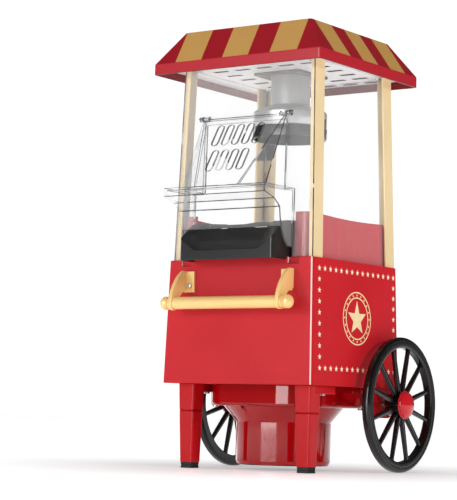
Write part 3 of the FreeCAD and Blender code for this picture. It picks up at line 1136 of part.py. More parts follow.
os.makedirs("parts", exist_ok=True)
for part_name, part_shape in parts.items():
    part_shape.exportStep("parts/" + part_name + ".step")
print(len(parts), "parts")
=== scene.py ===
import json
import logging
import math
from collections.abc import Callable, Iterator
from contextlib import contextmanager
from dataclasses import dataclass
from enum import Enum

import bmesh
import bpy
from mathutils import Matrix, Vector


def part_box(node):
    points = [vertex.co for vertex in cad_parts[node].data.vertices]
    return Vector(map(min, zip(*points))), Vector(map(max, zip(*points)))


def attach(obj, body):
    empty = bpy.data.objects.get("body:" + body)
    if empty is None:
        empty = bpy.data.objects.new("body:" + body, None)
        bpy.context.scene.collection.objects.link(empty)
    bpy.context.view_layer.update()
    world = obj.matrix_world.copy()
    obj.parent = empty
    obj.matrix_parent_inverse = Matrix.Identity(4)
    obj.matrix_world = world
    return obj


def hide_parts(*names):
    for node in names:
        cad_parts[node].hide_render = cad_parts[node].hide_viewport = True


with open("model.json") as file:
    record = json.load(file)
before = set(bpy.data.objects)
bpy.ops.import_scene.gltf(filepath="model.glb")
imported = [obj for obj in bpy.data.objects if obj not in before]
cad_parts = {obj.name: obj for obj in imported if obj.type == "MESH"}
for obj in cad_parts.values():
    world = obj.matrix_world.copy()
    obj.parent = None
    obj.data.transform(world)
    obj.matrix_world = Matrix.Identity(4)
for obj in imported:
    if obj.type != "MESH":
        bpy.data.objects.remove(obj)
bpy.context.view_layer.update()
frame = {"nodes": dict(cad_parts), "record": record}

MM = 0.001
MERGE_DISTANCE = 0.004 * MM
FLAT_WITHIN_DEGREES = 0.6
KETTLE_GROOVE = 12.5 * MM
KETTLE_SHOULDER = 9.5 * MM
LOG = logging.getLogger("popcorn_cart")

Colour = tuple[float, float, float]
FaceRule = Callable[[Vector, Vector], bool]


# ------------------------------------------------------------------ measuring the frame
@dataclass(frozen=True)
class Span:
    """The box of a CAD node, or of the part of it that lies at one height."""

    low: Vector
    high: Vector

    @property
    def centre(self) -> Vector:
        """Middle of the box."""
        return (self.low + self.high) / 2

    @property
    def size(self) -> Vector:
        """Edge lengths of the box."""
        return self.high - self.low


def span(node: str) -> Span:
    """Return the box of a whole CAD node."""
    low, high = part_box(node)
    return Span(low, high)


def span_at(node: str, height: float, reach: float = 0.4 * MM) -> Span:
    """Measure the part of a CAD node that lies near one height.

    Args:
        node: Name of the CAD node.
        height: Height to look at.
        reach: Vertices this far above or below still count.

    Returns:
        The box of those vertices.
    """
    points = [v.co for v in frame["nodes"][node].data.vertices if abs(v.co.z - height) < reach]
    low = Vector([min(p[axis] for p in points) for axis in range(3)])
    high = Vector([max(p[axis] for p in points) for axis in range(3)])
    return Span(low, high)


# ------------------------------------------------------------------ shader expressions
class Socket:
    """A value in a shader graph that can be used in sums and comparisons."""

    def __init__(self, graph: "Graph", link: bpy.types.NodeSocket) -> None:
        """Wrap one output socket of a node."""
        self.graph = graph
        self.link = link

    def _do(self, operation: str, *others: "Socket | float") -> "Socket":
        """Add one Math node that starts from this value."""
        return self.graph.math(operation, self, *others)

    def __add__(self, other: "Socket | float") -> "Socket":
        """Sum."""
        return self._do("ADD", other)

    __radd__ = __add__

    def __sub__(self, other: "Socket | float") -> "Socket":
        """Difference."""
        return self._do("SUBTRACT", other)

    def __rsub__(self, other: float) -> "Socket":
        """Difference with a number in front."""
        return self.graph.math("SUBTRACT", other, self)

    def __mul__(self, other: "Socket | float") -> "Socket":
        """Product."""
        return self._do("MULTIPLY", other)

    __rmul__ = __mul__

    def __truediv__(self, other: "Socket | float") -> "Socket":
        """Quotient."""
        return self._do("DIVIDE", other)

    def __gt__(self, other: "Socket | float") -> "Socket":
        """1 where this value is greater, else 0."""
        return self._do("GREATER_THAN", other)

    def __lt__(self, other: "Socket | float") -> "Socket":
        """1 where this value is less, else 0."""
        return self._do("LESS_THAN", other)

    def __abs__(self) -> "Socket":
        """Absolute value."""
        return self._do("ABSOLUTE")

    def clipped(self) -> "Socket":
        """The value kept between 0 and 1."""
        return self._do("MAXIMUM", 0.0)._do("MINIMUM", 1.0)


class Graph:
    """The node graph of one material."""

    def __init__(self, material: bpy.types.Material) -> None:
        """Start an empty graph with only an output node."""
        self.tree = material.node_tree
        self.tree.nodes.clear()
        self.output = self.tree.nodes.new("ShaderNodeOutputMaterial")

    def node(self, kind: str, settings: dict | None = None, values: dict | None = None,
             output: int | str = 0) -> Socket:
        """Add one node.

        Args:
            kind: Node type, such as ShaderNodeTexNoise.
            settings: Properties that are set before the sockets.
            values: Values or links by input name or index.
            output: Which output to return.

        Returns:
            The chosen output.
        """
        node = self.tree.nodes.new(kind)
        for key, value in (settings or {}).items():
            setattr(node, key, value)
        for key, value in (values or {}).items():
            self.feed(node.inputs[key], value)
        return Socket(self, node.outputs[output])

    def feed(self, socket: bpy.types.NodeSocket, value: "Socket | float | Colour") -> None:
        """Link a value to a socket, or set it there."""
        if isinstance(value, Socket):
            self.tree.links.new(value.link, socket)
        elif isinstance(value, tuple) and socket.type == "RGBA":
            socket.default_value = (*value, 1.0)
        else:
            socket.default_value = value

    def math(self, operation: str, *values: Socket | float) -> Socket:
        """Add one Math node and return its result."""
        return self.node("ShaderNodeMath", {"operation": operation}, dict(enumerate(values)))

    def point(self) -> Socket:
        """Object coordinates of the shaded point."""
        return self.node("ShaderNodeTexCoord", output="Object")

    def axes(self) -> tuple[Socket, Socket, Socket]:
        """Object coordinates as three numbers."""
        split = self.tree.nodes.new("ShaderNodeSeparateXYZ")
        self.feed(split.inputs[0], self.point())
        return tuple(Socket(self, output) for output in split.outputs)

    def noise(self, scale: float, detail: float = 2.0,
              stretch: tuple[float, float, float] = (1, 1, 1)) -> Socket:
        """Cloudy noise between 0 and 1, stretched along the axes where wanted."""
        placed = self.node("ShaderNodeMapping", values={"Vector": self.point(), "Scale": stretch})
        return self.node("ShaderNodeTexNoise", values={"Vector": placed, "Scale": scale, "Detail": detail})

    def specks(self, scale: float, size: float) -> Socket:
        """Small round specks: 1 inside a speck, 0 outside."""
        cell = self.node("ShaderNodeTexVoronoi", values={"Vector": self.point(), "Scale": scale})
        return cell < size

    def mix(self, share: Socket | float, first: Socket | Colour, second: Socket | Colour) -> Socket:
        """Blend two colours."""
        return self.node("ShaderNodeMix", {"data_type": "RGBA"}, {0: share, 6: first, 7: second}, output=2)

    def bump(self, height: Socket, strength: float, distance: float) -> Socket:
        """Surface relief from a height."""
        values = {"Strength": strength, "Distance": distance, "Height": height}
        return self.node("ShaderNodeBump", values=values)

    def surface(self, values: dict) -> None:
        """Close the graph with a Principled shader."""
        shader = self.node("ShaderNodeBsdfPrincipled", values=values)
        self.tree.links.new(shader.link, self.output.inputs["Surface"])


# ------------------------------------------------------------------ finishes
@dataclass(frozen=True)
class Finish:
    """A finish that any number of pieces may share."""

    name: str
    slot: str

    def material(self) -> bpy.types.Material:
        """Return the material, made the first time it is asked for."""
        made = bpy.data.materials.get(self.name)
        if made is None:
            made = bpy.data.materials.new(self.name)
            made.use_nodes = True
            self.shade(Graph(made))
        return made

    def shade(self, graph: Graph) -> None:
        """Fill the graph; each finish has its own way."""
        raise NotImplementedError


@dataclass(frozen=True)
class Enamel(Finish):
    """Sprayed paint on steel or glossy moulded plastic, with orange peel and faint clouding."""

    colour: Colour = (0.56, 0.010, 0.018)
    deep: Colour = (0.40, 0.002, 0.006)
    roughness: float = 0.30
    coat: float = 0.35
    peel: float = 0.10
    dust: float = 0.0

    def shade(self, graph: Graph) -> None:
        """Paint the graph."""
        cloud = graph.noise(14.0, 3.0)
        grain = graph.noise(900.0, 2.0)
        colour = graph.mix((cloud - 0.35).clipped() * 0.9, self.colour, self.deep)
        if self.dust:
            motes = graph.specks(1300.0, 0.06) * self.dust
            colour = graph.mix(motes, colour, (0.85, 0.6, 0.58))
        rub = graph.noise(60.0, 4.0, (1.0, 1.0, 0.25))
        graph.surface({
            "Base Color": colour,
            "Roughness": self.roughness + (grain - 0.5) * 0.08 + (rub - 0.5) * 0.10,
            "Specular IOR Level": 0.16,
            "Coat Weight": self.coat,
            "Coat Roughness": 0.05,
            "Normal": graph.bump(graph.noise(520.0, 1.5), self.peel, 0.15 * MM),
        })


@dataclass(frozen=True)
class GoldLacquer(Finish):
    """Satin gold lacquer with a soft lengthwise brush and tiny flakes."""

    colour: Colour = (0.80, 0.50, 0.16)
    light: Colour = (0.93, 0.68, 0.34)
    metallic: float = 0.35
    roughness: float = 0.38
    brushed: tuple[float, float, float] = (1.0, 1.0, 0.04)

    def shade(self, graph: Graph) -> None:
        """Paint the graph."""
        brush = graph.noise(700.0, 2.0, self.brushed)
        flake = graph.noise(2600.0, 0.0)
        cloud = graph.noise(22.0, 2.0)
        colour = graph.mix((cloud * 0.7 + brush * 0.3).clipped(), self.colour, self.light)
        graph.surface({
            "Base Color": colour,
            "Metallic": self.metallic,
            "Roughness": self.roughness + (brush - 0.5) * 0.12 + (flake - 0.5) * 0.06,
            "Coat Weight": 0.2,
            "Coat Roughness": 0.12,
            "Normal": graph.bump(brush, 0.06, 0.05 * MM),
        })


@dataclass(frozen=True)
class BlackMoulding(Finish):
    """Black moulded plastic, from mirror gloss to a fine spark-eroded grain."""

    colour: Colour = (0.010, 0.010, 0.011)
    roughness: float = 0.28
    coat: float = 0.4
    grain: float = 0.08
    grain_scale: float = 1500.0

    def shade(self, graph: Graph) -> None:
        """Paint the graph."""
        grain = graph.noise(self.grain_scale, 2.0)
        cloud = graph.noise(18.0, 3.0)
        grey = tuple(channel * 1.3 + 0.001 for channel in self.colour)
        graph.surface({
            "Base Color": graph.mix((cloud - 0.3).clipped(), self.colour, grey),
            "Roughness": self.roughness + (grain - 0.5) * 0.08 + (cloud - 0.5) * 0.03,
            "Specular IOR Level": 0.3,
            "Coat Weight": self.coat,
            "Coat Roughness": 0.08,
            "Normal": graph.bump(grain, self.grain, 0.08 * MM),
        })


@dataclass(frozen=True)
class ClearSheet(Finish):
    """Clear polystyrene whose faint milky sheen is a painted reflection: a white veil, patchy with dust, that
    thickens towards grazing angles; with hairline scratches.
    """

    # These two set how much white reflection is painted in: over the whole sheet, and extra at grazing
    # angles.
    reflection_veil: float = 0.16
    rim: float = 0.75
    tint: Colour = (0.97, 0.98, 0.98)
    roughness: float = 0.06

    def shade(self, graph: Graph) -> None:
        """Paint the graph."""
        facing = graph.node("ShaderNodeLayerWeight", values={"Blend": 0.22}, output="Facing")
        haze = graph.noise(16.0, 4.0, (1.0, 1.0, 0.5))
        scratch = graph.noise(240.0, 3.0, (1.0, 0.2, 0.03))
        # Painted reflection: white opacity over the whole sheet, patchy, and thicker where the sheet is seen
        # edge-on.
        alpha = self.reflection_veil * 0.7 + haze * (self.reflection_veil * 0.6) + facing * facing * self.rim
        graph.surface({
            "Base Color": self.tint,
            "Roughness": self.roughness + (scratch - 0.5) * 0.05,
            "Alpha": alpha.clipped(),
            "Normal": graph.bump(scratch, 0.02, 0.02 * MM),
        })


@dataclass(frozen=True)
class ClearEdgeShade(Finish):
    """Cut or moulded edge of a clear sheet, where light is trapped: painted shade turns it dark, flecked with
    painted glints.
    """

    colour: Colour = (0.012, 0.013, 0.014)
    share: float = 0.85

    def shade(self, graph: Graph) -> None:
        """Paint the graph."""
        broken = graph.noise(70.0, 3.0)
        fine = graph.noise(900.0, 2.0)
        # Painted glints: pale flecks over the painted edge shade.
        glint = (graph.noise(38.0, 2.0) > 0.60) * 0.8
        graph.surface({
            "Base Color": graph.mix(glint, self.colour, (0.85, 0.86, 0.86)),
            "Roughness": 0.16 + fine * 0.12,
            "Alpha": (self.share - 0.35 + broken * 0.7).clipped(),
        })


@dataclass(frozen=True)
class StripedCanopy(Finish):
    """Canopy paint: parallel stripes down every slope, over a plain fascia, with painted shade on the inner
    walls and undersides.
    """

    inner_edge: float = 0.155
    outer_edges: tuple[float, float] = (0.41, 0.73)
    red: Colour = (0.33, 0.002, 0.010)
    gold: Colour = (0.52, 0.285, 0.075)
    fascia: Colour = (0.42, 0.012, 0.022)
    # Painted shade for the inner walls and the downward faces.
    inside: Colour = (0.20, 0.006, 0.012)

    def shade(self, graph: Graph) -> None:
        """Paint the graph."""
        eaves = span("roof_canopy")
        brow = max(v.co.z for v in frame["nodes"]["roof_canopy"].data.vertices
                   if abs(v.co.x) > eaves.high.x - 0.3 * MM)
        crown = span_at("roof_canopy", eaves.high.z)
        rise = eaves.high.z - brow
        x, y, z = graph.axes()
        share = (z - brow) / rise
        across = (share * (crown.high.x - eaves.high.x)) + eaves.high.x
        along = (share * (crown.size.y - eaves.size.y) + eaves.size.y) / 2
        u = x / across
        v = (y - eaves.centre.y) / along
        on_side = abs(u) > abs(v)
        straight_x = x / eaves.high.x
        straight_y = (y - eaves.centre.y) / (eaves.size.y / 2)
        wobble = (graph.noise(160.0, 2.0) - 0.5) * 0.004
        place = abs(straight_x * (1 - on_side) + straight_y * on_side) + wobble
        outer = (place > self.outer_edges[0]) * (place < self.outer_edges[1])
        stripe = ((place < self.inner_edge) + outer).clipped()
        fascia_top = brow + 0.25 * MM
        slope = (z > fascia_top) * (z < eaves.high.z - 0.1 * MM)
        outside = graph.node("ShaderNodeNewGeometry", output="Normal")
        facing_up = graph.node("ShaderNodeSeparateXYZ", values={0: outside}, output=2)
        upward = facing_up > 0.05
        # Painted shade: inner walls below the fascia top and every downward face take the dark inside colour.
        inner_x = abs(x) < eaves.high.x - 1.0 * MM
        inner_y = abs(y - eaves.centre.y) < eaves.size.y / 2 - 1.0 * MM
        inner_shade = inner_x * inner_y * (z < fascia_top)
        cloud = graph.noise(20.0, 3.0)
        red = graph.mix((cloud - 0.3).clipped() * 0.6, self.red, (0.25, 0.001, 0.006))
        gold = graph.mix((cloud - 0.3).clipped() * 0.7, self.gold, (0.44, 0.23, 0.05))
        striped = graph.mix(stripe * slope * upward, red, gold)
        outward = graph.mix((z < fascia_top) * 0.9, striped, self.fascia)
        colour = graph.mix((inner_shade + (facing_up < -0.05)).clipped(), outward, self.inside)
        grain = graph.noise(800.0, 2.0)
        graph.surface({
            "Base Color": colour,
            "Roughness": 0.36 + (grain - 0.5) * 0.12 + stripe * slope * 0.05,
            "Specular IOR Level": 0.3,
            "Coat Weight": 0.12,
            "Coat Roughness": 0.10,
            "Normal": graph.bump(graph.noise(480.0, 1.5), 0.08, 0.15 * MM),
        })


@dataclass(frozen=True)
class KettleSkin(Finish):
    """Grey moulding with a bright band round the drum and a dark skirt below it."""

    tone: Colour = (0.22, 0.22, 0.22)
    bright: Colour = (0.58, 0.58, 0.59)
    dark: Colour = (0.016, 0.017, 0.018)

    def shade(self, graph: Graph) -> None:
        """Paint the graph."""
        drum = span("kettle")
        _, _, z = graph.axes()
        skirt = drum.low.z + KETTLE_GROOVE
        shoulder = drum.high.z - KETTLE_SHOULDER
        spun = graph.noise(500.0, 2.0, (0.05, 0.05, 1.0))
        cloud = graph.noise(24.0, 3.0)
        banded = graph.mix(z > shoulder, self.bright, self.tone)
        colour = graph.mix(z < skirt, banded, self.dark)
        graph.surface({
            "Base Color": graph.mix((cloud - 0.35).clipped() * 0.5, colour, self.dark),
            "Metallic": (z > skirt) * (z < shoulder) * 0.55,
            "Roughness": 0.30 + (spun - 0.5) * 0.16,
            "Coat Weight": 0.2,
            "Normal": graph.bump(spun, 0.05, 0.05 * MM),
        })


class MetalKind(Enum):
    """The bare metals inside and on the cart."""

    ZINC = "zinc"
    SPUN = "spun"
    WIRE = "wire"


@dataclass(frozen=True)
class BareMetal(Finish):
    """Unpainted metal: zinc with a spangle, spun aluminium with rings, or drawn wire."""

    kind: MetalKind = MetalKind.ZINC
    colour: Colour = (0.60, 0.60, 0.59)

    def shade(self, graph: Graph) -> None:
        """Paint the graph."""
        stretches = {MetalKind.ZINC: (1, 1, 1), MetalKind.SPUN: (0.04, 0.04, 1), MetalKind.WIRE: (1, 1, 6)}
        lines = graph.noise(650.0, 3.0, stretches[self.kind])
        stain = graph.noise(45.0, 4.0)
        warm = tuple(channel * shift for channel, shift in zip(self.colour, (0.80, 0.70, 0.58)))
        graph.surface({
            "Base Color": graph.mix((stain - 0.45).clipped() * 1.2, self.colour, warm),
            "Metallic": 1.0,
            "Roughness": 0.28 + (lines - 0.5) * 0.22 + (stain - 0.5) * 0.12,
            "Normal": graph.bump(lines, 0.12, 0.04 * MM),
        })


@dataclass(frozen=True)
class DullBoard(Finish):
    """Mica, circuit laminate, glazed ceramic or white moulding, by colour and grain."""

    colour: Colour = (0.80, 0.79, 0.77)
    second: Colour = (0.70, 0.69, 0.66)
    scale: float = 60.0
    roughness: float = 0.42

    def shade(self, graph: Graph) -> None:
        """Paint the graph."""
        cloud = graph.noise(self.scale, 4.0)
        grain = graph.noise(1200.0, 2.0)
        graph.surface({
            "Base Color": graph.mix((cloud * 1.4 - 0.3).clipped(), self.colour, self.second),
            "Roughness": self.roughness + (grain - 0.5) * 0.15,
            "Normal": graph.bump(grain, 0.08, 0.06 * MM),
        })


BODY_RED = Enamel("body_enamel", "red_paint", roughness=0.42, coat=0.06, peel=0.05, dust=0.10)
PLATE_RED = Enamel("plate_enamel", "red_paint", colour=(0.56, 0.016, 0.024),
                   roughness=0.50, coat=0.03, peel=0.04)
# Painted highlight: near-white colour on the front plate's side edge faces, where the light catches them.
PLATE_EDGE_HIGHLIGHT = Enamel("plate_edge_highlight", "red_paint", colour=(0.92, 0.72, 0.66), deep=(0.85, 0.55, 0.5),
                    roughness=0.3)
GLOSS_RED = Enamel("moulded_red", "red_plastic", colour=(0.36, 0.001, 0.003), deep=(0.27, 0.001, 0.002),
                   roughness=0.12, coat=0.6, peel=0.01)
TUB_RED = Enamel("tub_red", "red_plastic", colour=(0.56, 0.020, 0.034), roughness=0.26, coat=0.4, peel=0.02)
LEG_RED = Enamel("leg_red", "red_plastic", colour=(0.52, 0.006, 0.010), roughness=0.30, coat=0.12, peel=0.02)
HUB_RED = Enamel("hub_red", "red_plastic", colour=(0.58, 0.008, 0.016), roughness=0.22, coat=0.7, peel=0.03)
POST_GOLD = GoldLacquer("post_gold", "gold_paint", colour=(0.84, 0.61, 0.28), light=(0.98, 0.80, 0.52),
                        metallic=0.15)
BAR_GOLD = GoldLacquer("handle_gold", "gold_paint", colour=(0.86, 0.53, 0.16), light=(0.92, 0.64, 0.28),
                       metallic=0.12, brushed=(0.04, 1.0, 1.0))
PRINT_CREAM = DullBoard("cream_print", "gold_paint", (0.90, 0.72, 0.42), (0.82, 0.60, 0.30), 200.0, 0.5)
STAR_CREAM = DullBoard("star_print", "gold_paint", (0.96, 0.86, 0.66), (0.88, 0.74, 0.50), 200.0, 0.5)
# The clear sheets carry a painted white reflection veil.
FRONT_CLEAR = ClearSheet("clear_front", "clear_plastic", reflection_veil=0.12, rim=0.6)
SIDE_CLEAR = ClearSheet("clear_side", "clear_plastic", reflection_veil=0.035, rim=0.5)
DOOR_CLEAR = ClearSheet("clear_door", "clear_plastic", reflection_veil=0.06, rim=0.85)
# Painted shade on the clear sheets' edges: dark on the front panel and door, grey on the side and back
# panels.
DARK_EDGE_SHADE = ClearEdgeShade("clear_edge_dark_shade", "clear_plastic")
SOFT_EDGE_SHADE = ClearEdgeShade("clear_edge_soft_shade", "clear_plastic", colour=(0.30, 0.31, 0.32), share=0.55)
CHUTE_BLACK = BlackMoulding("chute_black", "black_gloss", (0.013, 0.013, 0.014), 0.34, 0.25, 0.03)
SWITCH_BLACK = BlackMoulding("switch_black", "black_gloss", roughness=0.18, coat=0.6, grain=0.03)
WHEEL_BLACK = BlackMoulding("wheel_black", "black_plastic", (0.003, 0.003, 0.003), 0.26, 0.30, 0.05, 900.0)
CASE_BLACK = BlackMoulding("case_black", "black_plastic", (0.010, 0.010, 0.011), 0.42, 0.1, 0.10)
FOOT_RUBBER = BlackMoulding("foot_rubber", "rubber", (0.018, 0.018, 0.018), 0.72, 0.0, 0.30, 700.0)
CANOPY = StripedCanopy("canopy_stripes", "red_plastic")
KETTLE_GREY = KettleSkin("kettle_grey", "grey_plastic")
TUBE_GREY = DullBoard("tube_grey", "grey_plastic", (0.34, 0.34, 0.34), (0.29, 0.29, 0.29), 20.0, 0.30)
SLOT_SHADE = BlackMoulding("slot_shade", "black_plastic", (0.012, 0.010, 0.010), 0.6, 0.0)
MOUNT_BROWN = DullBoard("mount_brown", "black_plastic", (0.055, 0.038, 0.034), (0.085, 0.060, 0.054),
                        25.0, 0.30)
CEILING_WHITE = DullBoard("ceiling_white", "white_plastic", (0.96, 0.94, 0.93), (0.90, 0.88, 0.87),
                          30.0, 0.38)
MICA = DullBoard("mica_sheet", "mica", (0.50, 0.42, 0.31), (0.62, 0.55, 0.42), 90.0, 0.45)
LAMINATE = DullBoard("board_laminate", "board_green", (0.02, 0.16, 0.06), (0.03, 0.22, 0.09), 140.0, 0.35)
GLAZE = DullBoard("white_glaze", "white_ceramic", (0.88, 0.88, 0.86), (0.80, 0.79, 0.75), 70.0, 0.18)
ZINC = BareMetal("zinc_plate", "steel")
SPUN = BareMetal("spun_aluminium", "aluminium", MetalKind.SPUN, (0.76, 0.76, 0.77))
WIRE = BareMetal("resistance_wire", "resistance_wire", MetalKind.WIRE, (0.45, 0.38, 0.32))


# ------------------------------------------------------------------ modelling bench
class Work:
    """A piece on the bench: it starts as a primitive or a merged copy and is shaped in edit mode."""

    def __init__(self, name: str) -> None:
        """Take the active object as the piece and name it."""
        self.item = bpy.context.view_layer.objects.active
        self.item.name = name
        self.item.data.name = name

    @staticmethod
    def clear_bench() -> None:
        """Leave edit mode and deselect everything."""
        if bpy.context.object and bpy.context.object.mode != "OBJECT":
            bpy.ops.object.mode_set(mode="OBJECT")
        bpy.ops.object.select_all(action="DESELECT")

    @classmethod
    def block(cls, name: str, low: Vector, high: Vector) -> "Work":
        """Start from a cube scaled to a box."""
        cls.clear_bench()
        bpy.ops.mesh.primitive_cube_add(size=1.0, location=(low + high) / 2)
        bpy.context.object.scale = high - low
        bpy.ops.object.transform_apply(location=True, rotation=True, scale=True)
        return cls(name)

    @classmethod
    def disc(cls, name: str, corners: int, radius: float) -> "Work":
        """Start from a filled circle round the origin, flat on the table plane."""
        cls.clear_bench()
        bpy.ops.mesh.primitive_circle_add(vertices=corners, radius=radius, fill_type="NGON")
        return cls(name)

    @classmethod
    def lathed(cls, name: str, profile: list[tuple[float, float]], centre: Vector, axis: Vector,
               steps: int = 96) -> "Work":
        """Draw a profile point by point and spin it.

        Args:
            name: Name of the piece.
            profile: (radius, distance along the axis) pairs; ends at radius 0 are closed as poles.
            centre: A point on the axis from which the distances count.
            axis: Direction of the axis.
            steps: Facets round the piece.

        Returns:
            The spun piece, closed and facing outwards.
        """
        cls.clear_bench()
        axis = axis.normalized()
        side = axis.orthogonal().normalized()
        points = [centre + side * radius + axis * along for radius, along in profile]
        bpy.ops.mesh.primitive_plane_add(size=1 * MM, location=points[0])
        work = cls(name)
        bpy.ops.object.transform_apply(location=True, rotation=True, scale=True)
        with work.editing():
            bpy.ops.mesh.select_mode(type="VERT")
            bpy.ops.mesh.select_all(action="SELECT")
            bpy.ops.mesh.merge(type="CENTER")
            for here, there in zip(points, points[1:]):
                bpy.ops.mesh.extrude_region_move(TRANSFORM_OT_translate={"value": there - here})
            bpy.ops.mesh.select_all(action="SELECT")
            bpy.ops.mesh.spin(steps=steps, angle=math.tau, center=centre, axis=axis)
            bpy.ops.mesh.select_all(action="SELECT")
            bpy.ops.mesh.remove_doubles(threshold=MERGE_DISTANCE)
            bpy.ops.mesh.normals_make_consistent(inside=False)
        return work

    @classmethod
    def merged_copy(cls, name: str, node: str, whole: bool = True) -> "Work":
        """Start from a copy of a CAD node.

        Args:
            name: Name of the piece.
            node: The CAD node.
            whole: True to merge its triangles into whole faces, False to keep them.

        Returns:
            The piece.
        """
        cls.clear_bench()
        source = frame["nodes"][node]
        copy = bpy.data.objects.new(name, source.data.copy())
        copy.data.materials.clear()
        bpy.context.scene.collection.objects.link(copy)
        bpy.context.view_layer.objects.active = copy
        copy.select_set(True)
        work = cls(name)
        with work.editing():
            bpy.ops.mesh.select_all(action="SELECT")
            bpy.ops.mesh.remove_doubles(threshold=MERGE_DISTANCE)
            if whole:
                bpy.ops.mesh.dissolve_limited(angle_limit=math.radians(FLAT_WITHIN_DEGREES))
        return work

    @contextmanager
    def editing(self) -> Iterator[bmesh.types.BMesh]:
        """Open the piece in edit mode with nothing selected."""
        self.clear_bench()
        bpy.context.view_layer.objects.active = self.item
        self.item.select_set(True)
        bpy.ops.object.mode_set(mode="EDIT")
        bpy.ops.mesh.select_all(action="DESELECT")
        mesh = bmesh.from_edit_mesh(self.item.data)
        yield mesh
        bpy.ops.object.mode_set(mode="OBJECT")

    def pick_faces(self, rule: FaceRule) -> None:
        """Select the faces that a rule on (centre, normal) accepts, in edit mode."""
        bpy.ops.mesh.select_mode(type="FACE")
        mesh = bmesh.from_edit_mesh(self.item.data)
        for face in mesh.faces:
            face.select_set(rule(face.calc_center_median(), face.normal))
        bmesh.update_edit_mesh(self.item.data)

    def inset(self, rule: FaceRule, width: float, depth: float) -> "Work":
        """Inset the chosen faces and push them in or out."""
        with self.editing():
            self.pick_faces(rule)
            bpy.ops.mesh.inset(thickness=width, depth=depth)
        return self

    def grow(self, rule: FaceRule, move: Vector, shrink: tuple[float, float, float] = (1, 1, 1)) -> "Work":
        """Extrude the chosen faces along a vector and taper their ends."""
        with self.editing():
            self.pick_faces(rule)
            bpy.ops.mesh.extrude_region_move(TRANSFORM_OT_translate={"value": move})
            bpy.ops.transform.resize(value=shrink)
        return self

    def rounded(self, width: float, segments: int = 2, angle: float = 28.0, edge_slot: int = -1) -> "Work":
        """Round every sharp edge with an applied bevel.

        Args:
            width: Width of the rounding.
            segments: Facets across it.
            angle: Edges sharper than this many degrees are rounded.
            edge_slot: Material slot for the rounding's faces, or -1 to keep the neighbours'.

        Returns:
            The same piece.
        """
        bevel = self.item.modifiers.new("rounding", "BEVEL")
        bevel.width = width
        bevel.segments = segments
        bevel.limit_method = "ANGLE"
        bevel.angle_limit = math.radians(angle)
        bevel.use_clamp_overlap = False
        bevel.miter_outer = "MITER_ARC"
        bevel.material = edge_slot
        return self.applied(bevel)

    def flattened(self) -> "Work":
        """Let the large faces lead the shading, so that flat walls look flat."""
        lead = self.item.modifiers.new("flat_walls", "WEIGHTED_NORMAL")
        lead.mode = "FACE_AREA"
        lead.weight = 80
        lead.keep_sharp = True
        return self.applied(lead)

    def applied(self, modifier: bpy.types.Modifier) -> "Work":
        """Apply a modifier."""
        self.clear_bench()
        bpy.context.view_layer.objects.active = self.item
        self.item.select_set(True)
        bpy.ops.object.modifier_apply(modifier=modifier.name)
        return self

    def smooth(self, angle: float = 32.0) -> "Work":
        """Shade smooth up to an angle."""
        self.clear_bench()
        bpy.context.view_layer.objects.active = self.item
        self.item.select_set(True)
        bpy.ops.object.shade_smooth_by_angle(angle=math.radians(angle))
        return self

    def moved(self, matrix: Matrix) -> "Work":
        """Move the mesh itself, so that the object stays at the origin."""
        self.item.data.transform(matrix)
        if matrix.determinant() < 0:
            with self.editing():
                bpy.ops.mesh.select_all(action="SELECT")
                bpy.ops.mesh.flip_normals()
        return self

    def copied(self, matrix: Matrix) -> "Work":
        """Return a moved copy with its own mesh."""
        twin = self.item.copy()
        twin.data = self.item.data.copy()
        bpy.context.scene.collection.objects.link(twin)
        self.clear_bench()
        bpy.context.view_layer.objects.active = twin
        return Work(self.item.name).moved(matrix)

    def joined(self, others: list["Work"]) -> "Work":
        """Join other pieces into this one."""
        name = self.item.name
        self.clear_bench()
        for other in others:
            other.item.select_set(True)
        self.item.select_set(True)
        bpy.context.view_layer.objects.active = self.item
        bpy.ops.object.join()
        return Work(name)

    def dressed(self, finish: Finish, edge: Finish | None = None) -> "Work":
        """Give the piece its finish, and a second one for its edges where it has one."""
        self.item.data.materials.clear()
        self.item.data.materials.append(finish.material())
        if edge:
            self.item.data.materials.append(edge.material())
        return self

    def edge_faces(self, rule: FaceRule) -> "Work":
        """Give the second finish to the faces that a rule accepts."""
        for face in self.item.data.polygons:
            if rule(face.center, face.normal):
                face.material_index = 1
        return self

    def fitted(self, body: str, finish: Finish, *nodes: str) -> bpy.types.Object:
        """Put the finished piece on its body in place of its CAD nodes."""
        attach(self.item, body)
        if nodes:
            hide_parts(*nodes)
        LOG.info("%s rides on %s, %d faces", self.item.name, body, len(self.item.data.polygons))
        return self.item


def body_of(node: str) -> str:
    """Return the body that a CAD node rides on."""
    for body, members in frame["record"]["behaviour"]["bodies"].items():
        if node in members:
            return body
    raise ValueError(node)


def coat_node(node: str, finish: Finish) -> None:
    """Give a CAD node that keeps its shape a finish."""
    target = frame["nodes"][node]
    target.data.materials.clear()
    target.data.materials.append(finish.material())
    LOG.info("%s keeps its frame shape in %s", node, finish.name)


def eased(node: str, finish: Finish, width: float, segments: int = 2, edge: Finish | None = None,
          edge_rule: FaceRule | None = None, edge_on_rounding: bool = True,
          angle: float = 28.0) -> bpy.types.Object:
    """Replace a CAD node by a copy of it with eased edges.

    Args:
        node: The CAD node.
        finish: Finish of the whole piece.
        width: Width of the rounding on each sharp edge; 0 keeps the edges as they are.
        segments: Facets across the rounding.
        edge: Finish of the roundings, if it differs.
        edge_rule: Which other faces take the edge finish.
        edge_on_rounding: Whether the roundings take it too.
        angle: Edges sharper than this many degrees are rounded.

    Returns:
        The finished object.
    """
    work = Work.merged_copy(node + "_eased", node, width > 0)
    work.dressed(finish, edge)
    if width > 0:
        work.rounded(width, segments, angle, 1 if edge and edge_on_rounding else -1)
    if edge_rule:
        work.edge_faces(edge_rule)
    work.smooth(40.0).flattened()
    return work.fitted(body_of(node), finish, node)


SIDES = (("left", -1.0), ("right", 1.0))
MIRROR_X = Matrix.Scale(-1.0, 4, Vector((1, 0, 0)))


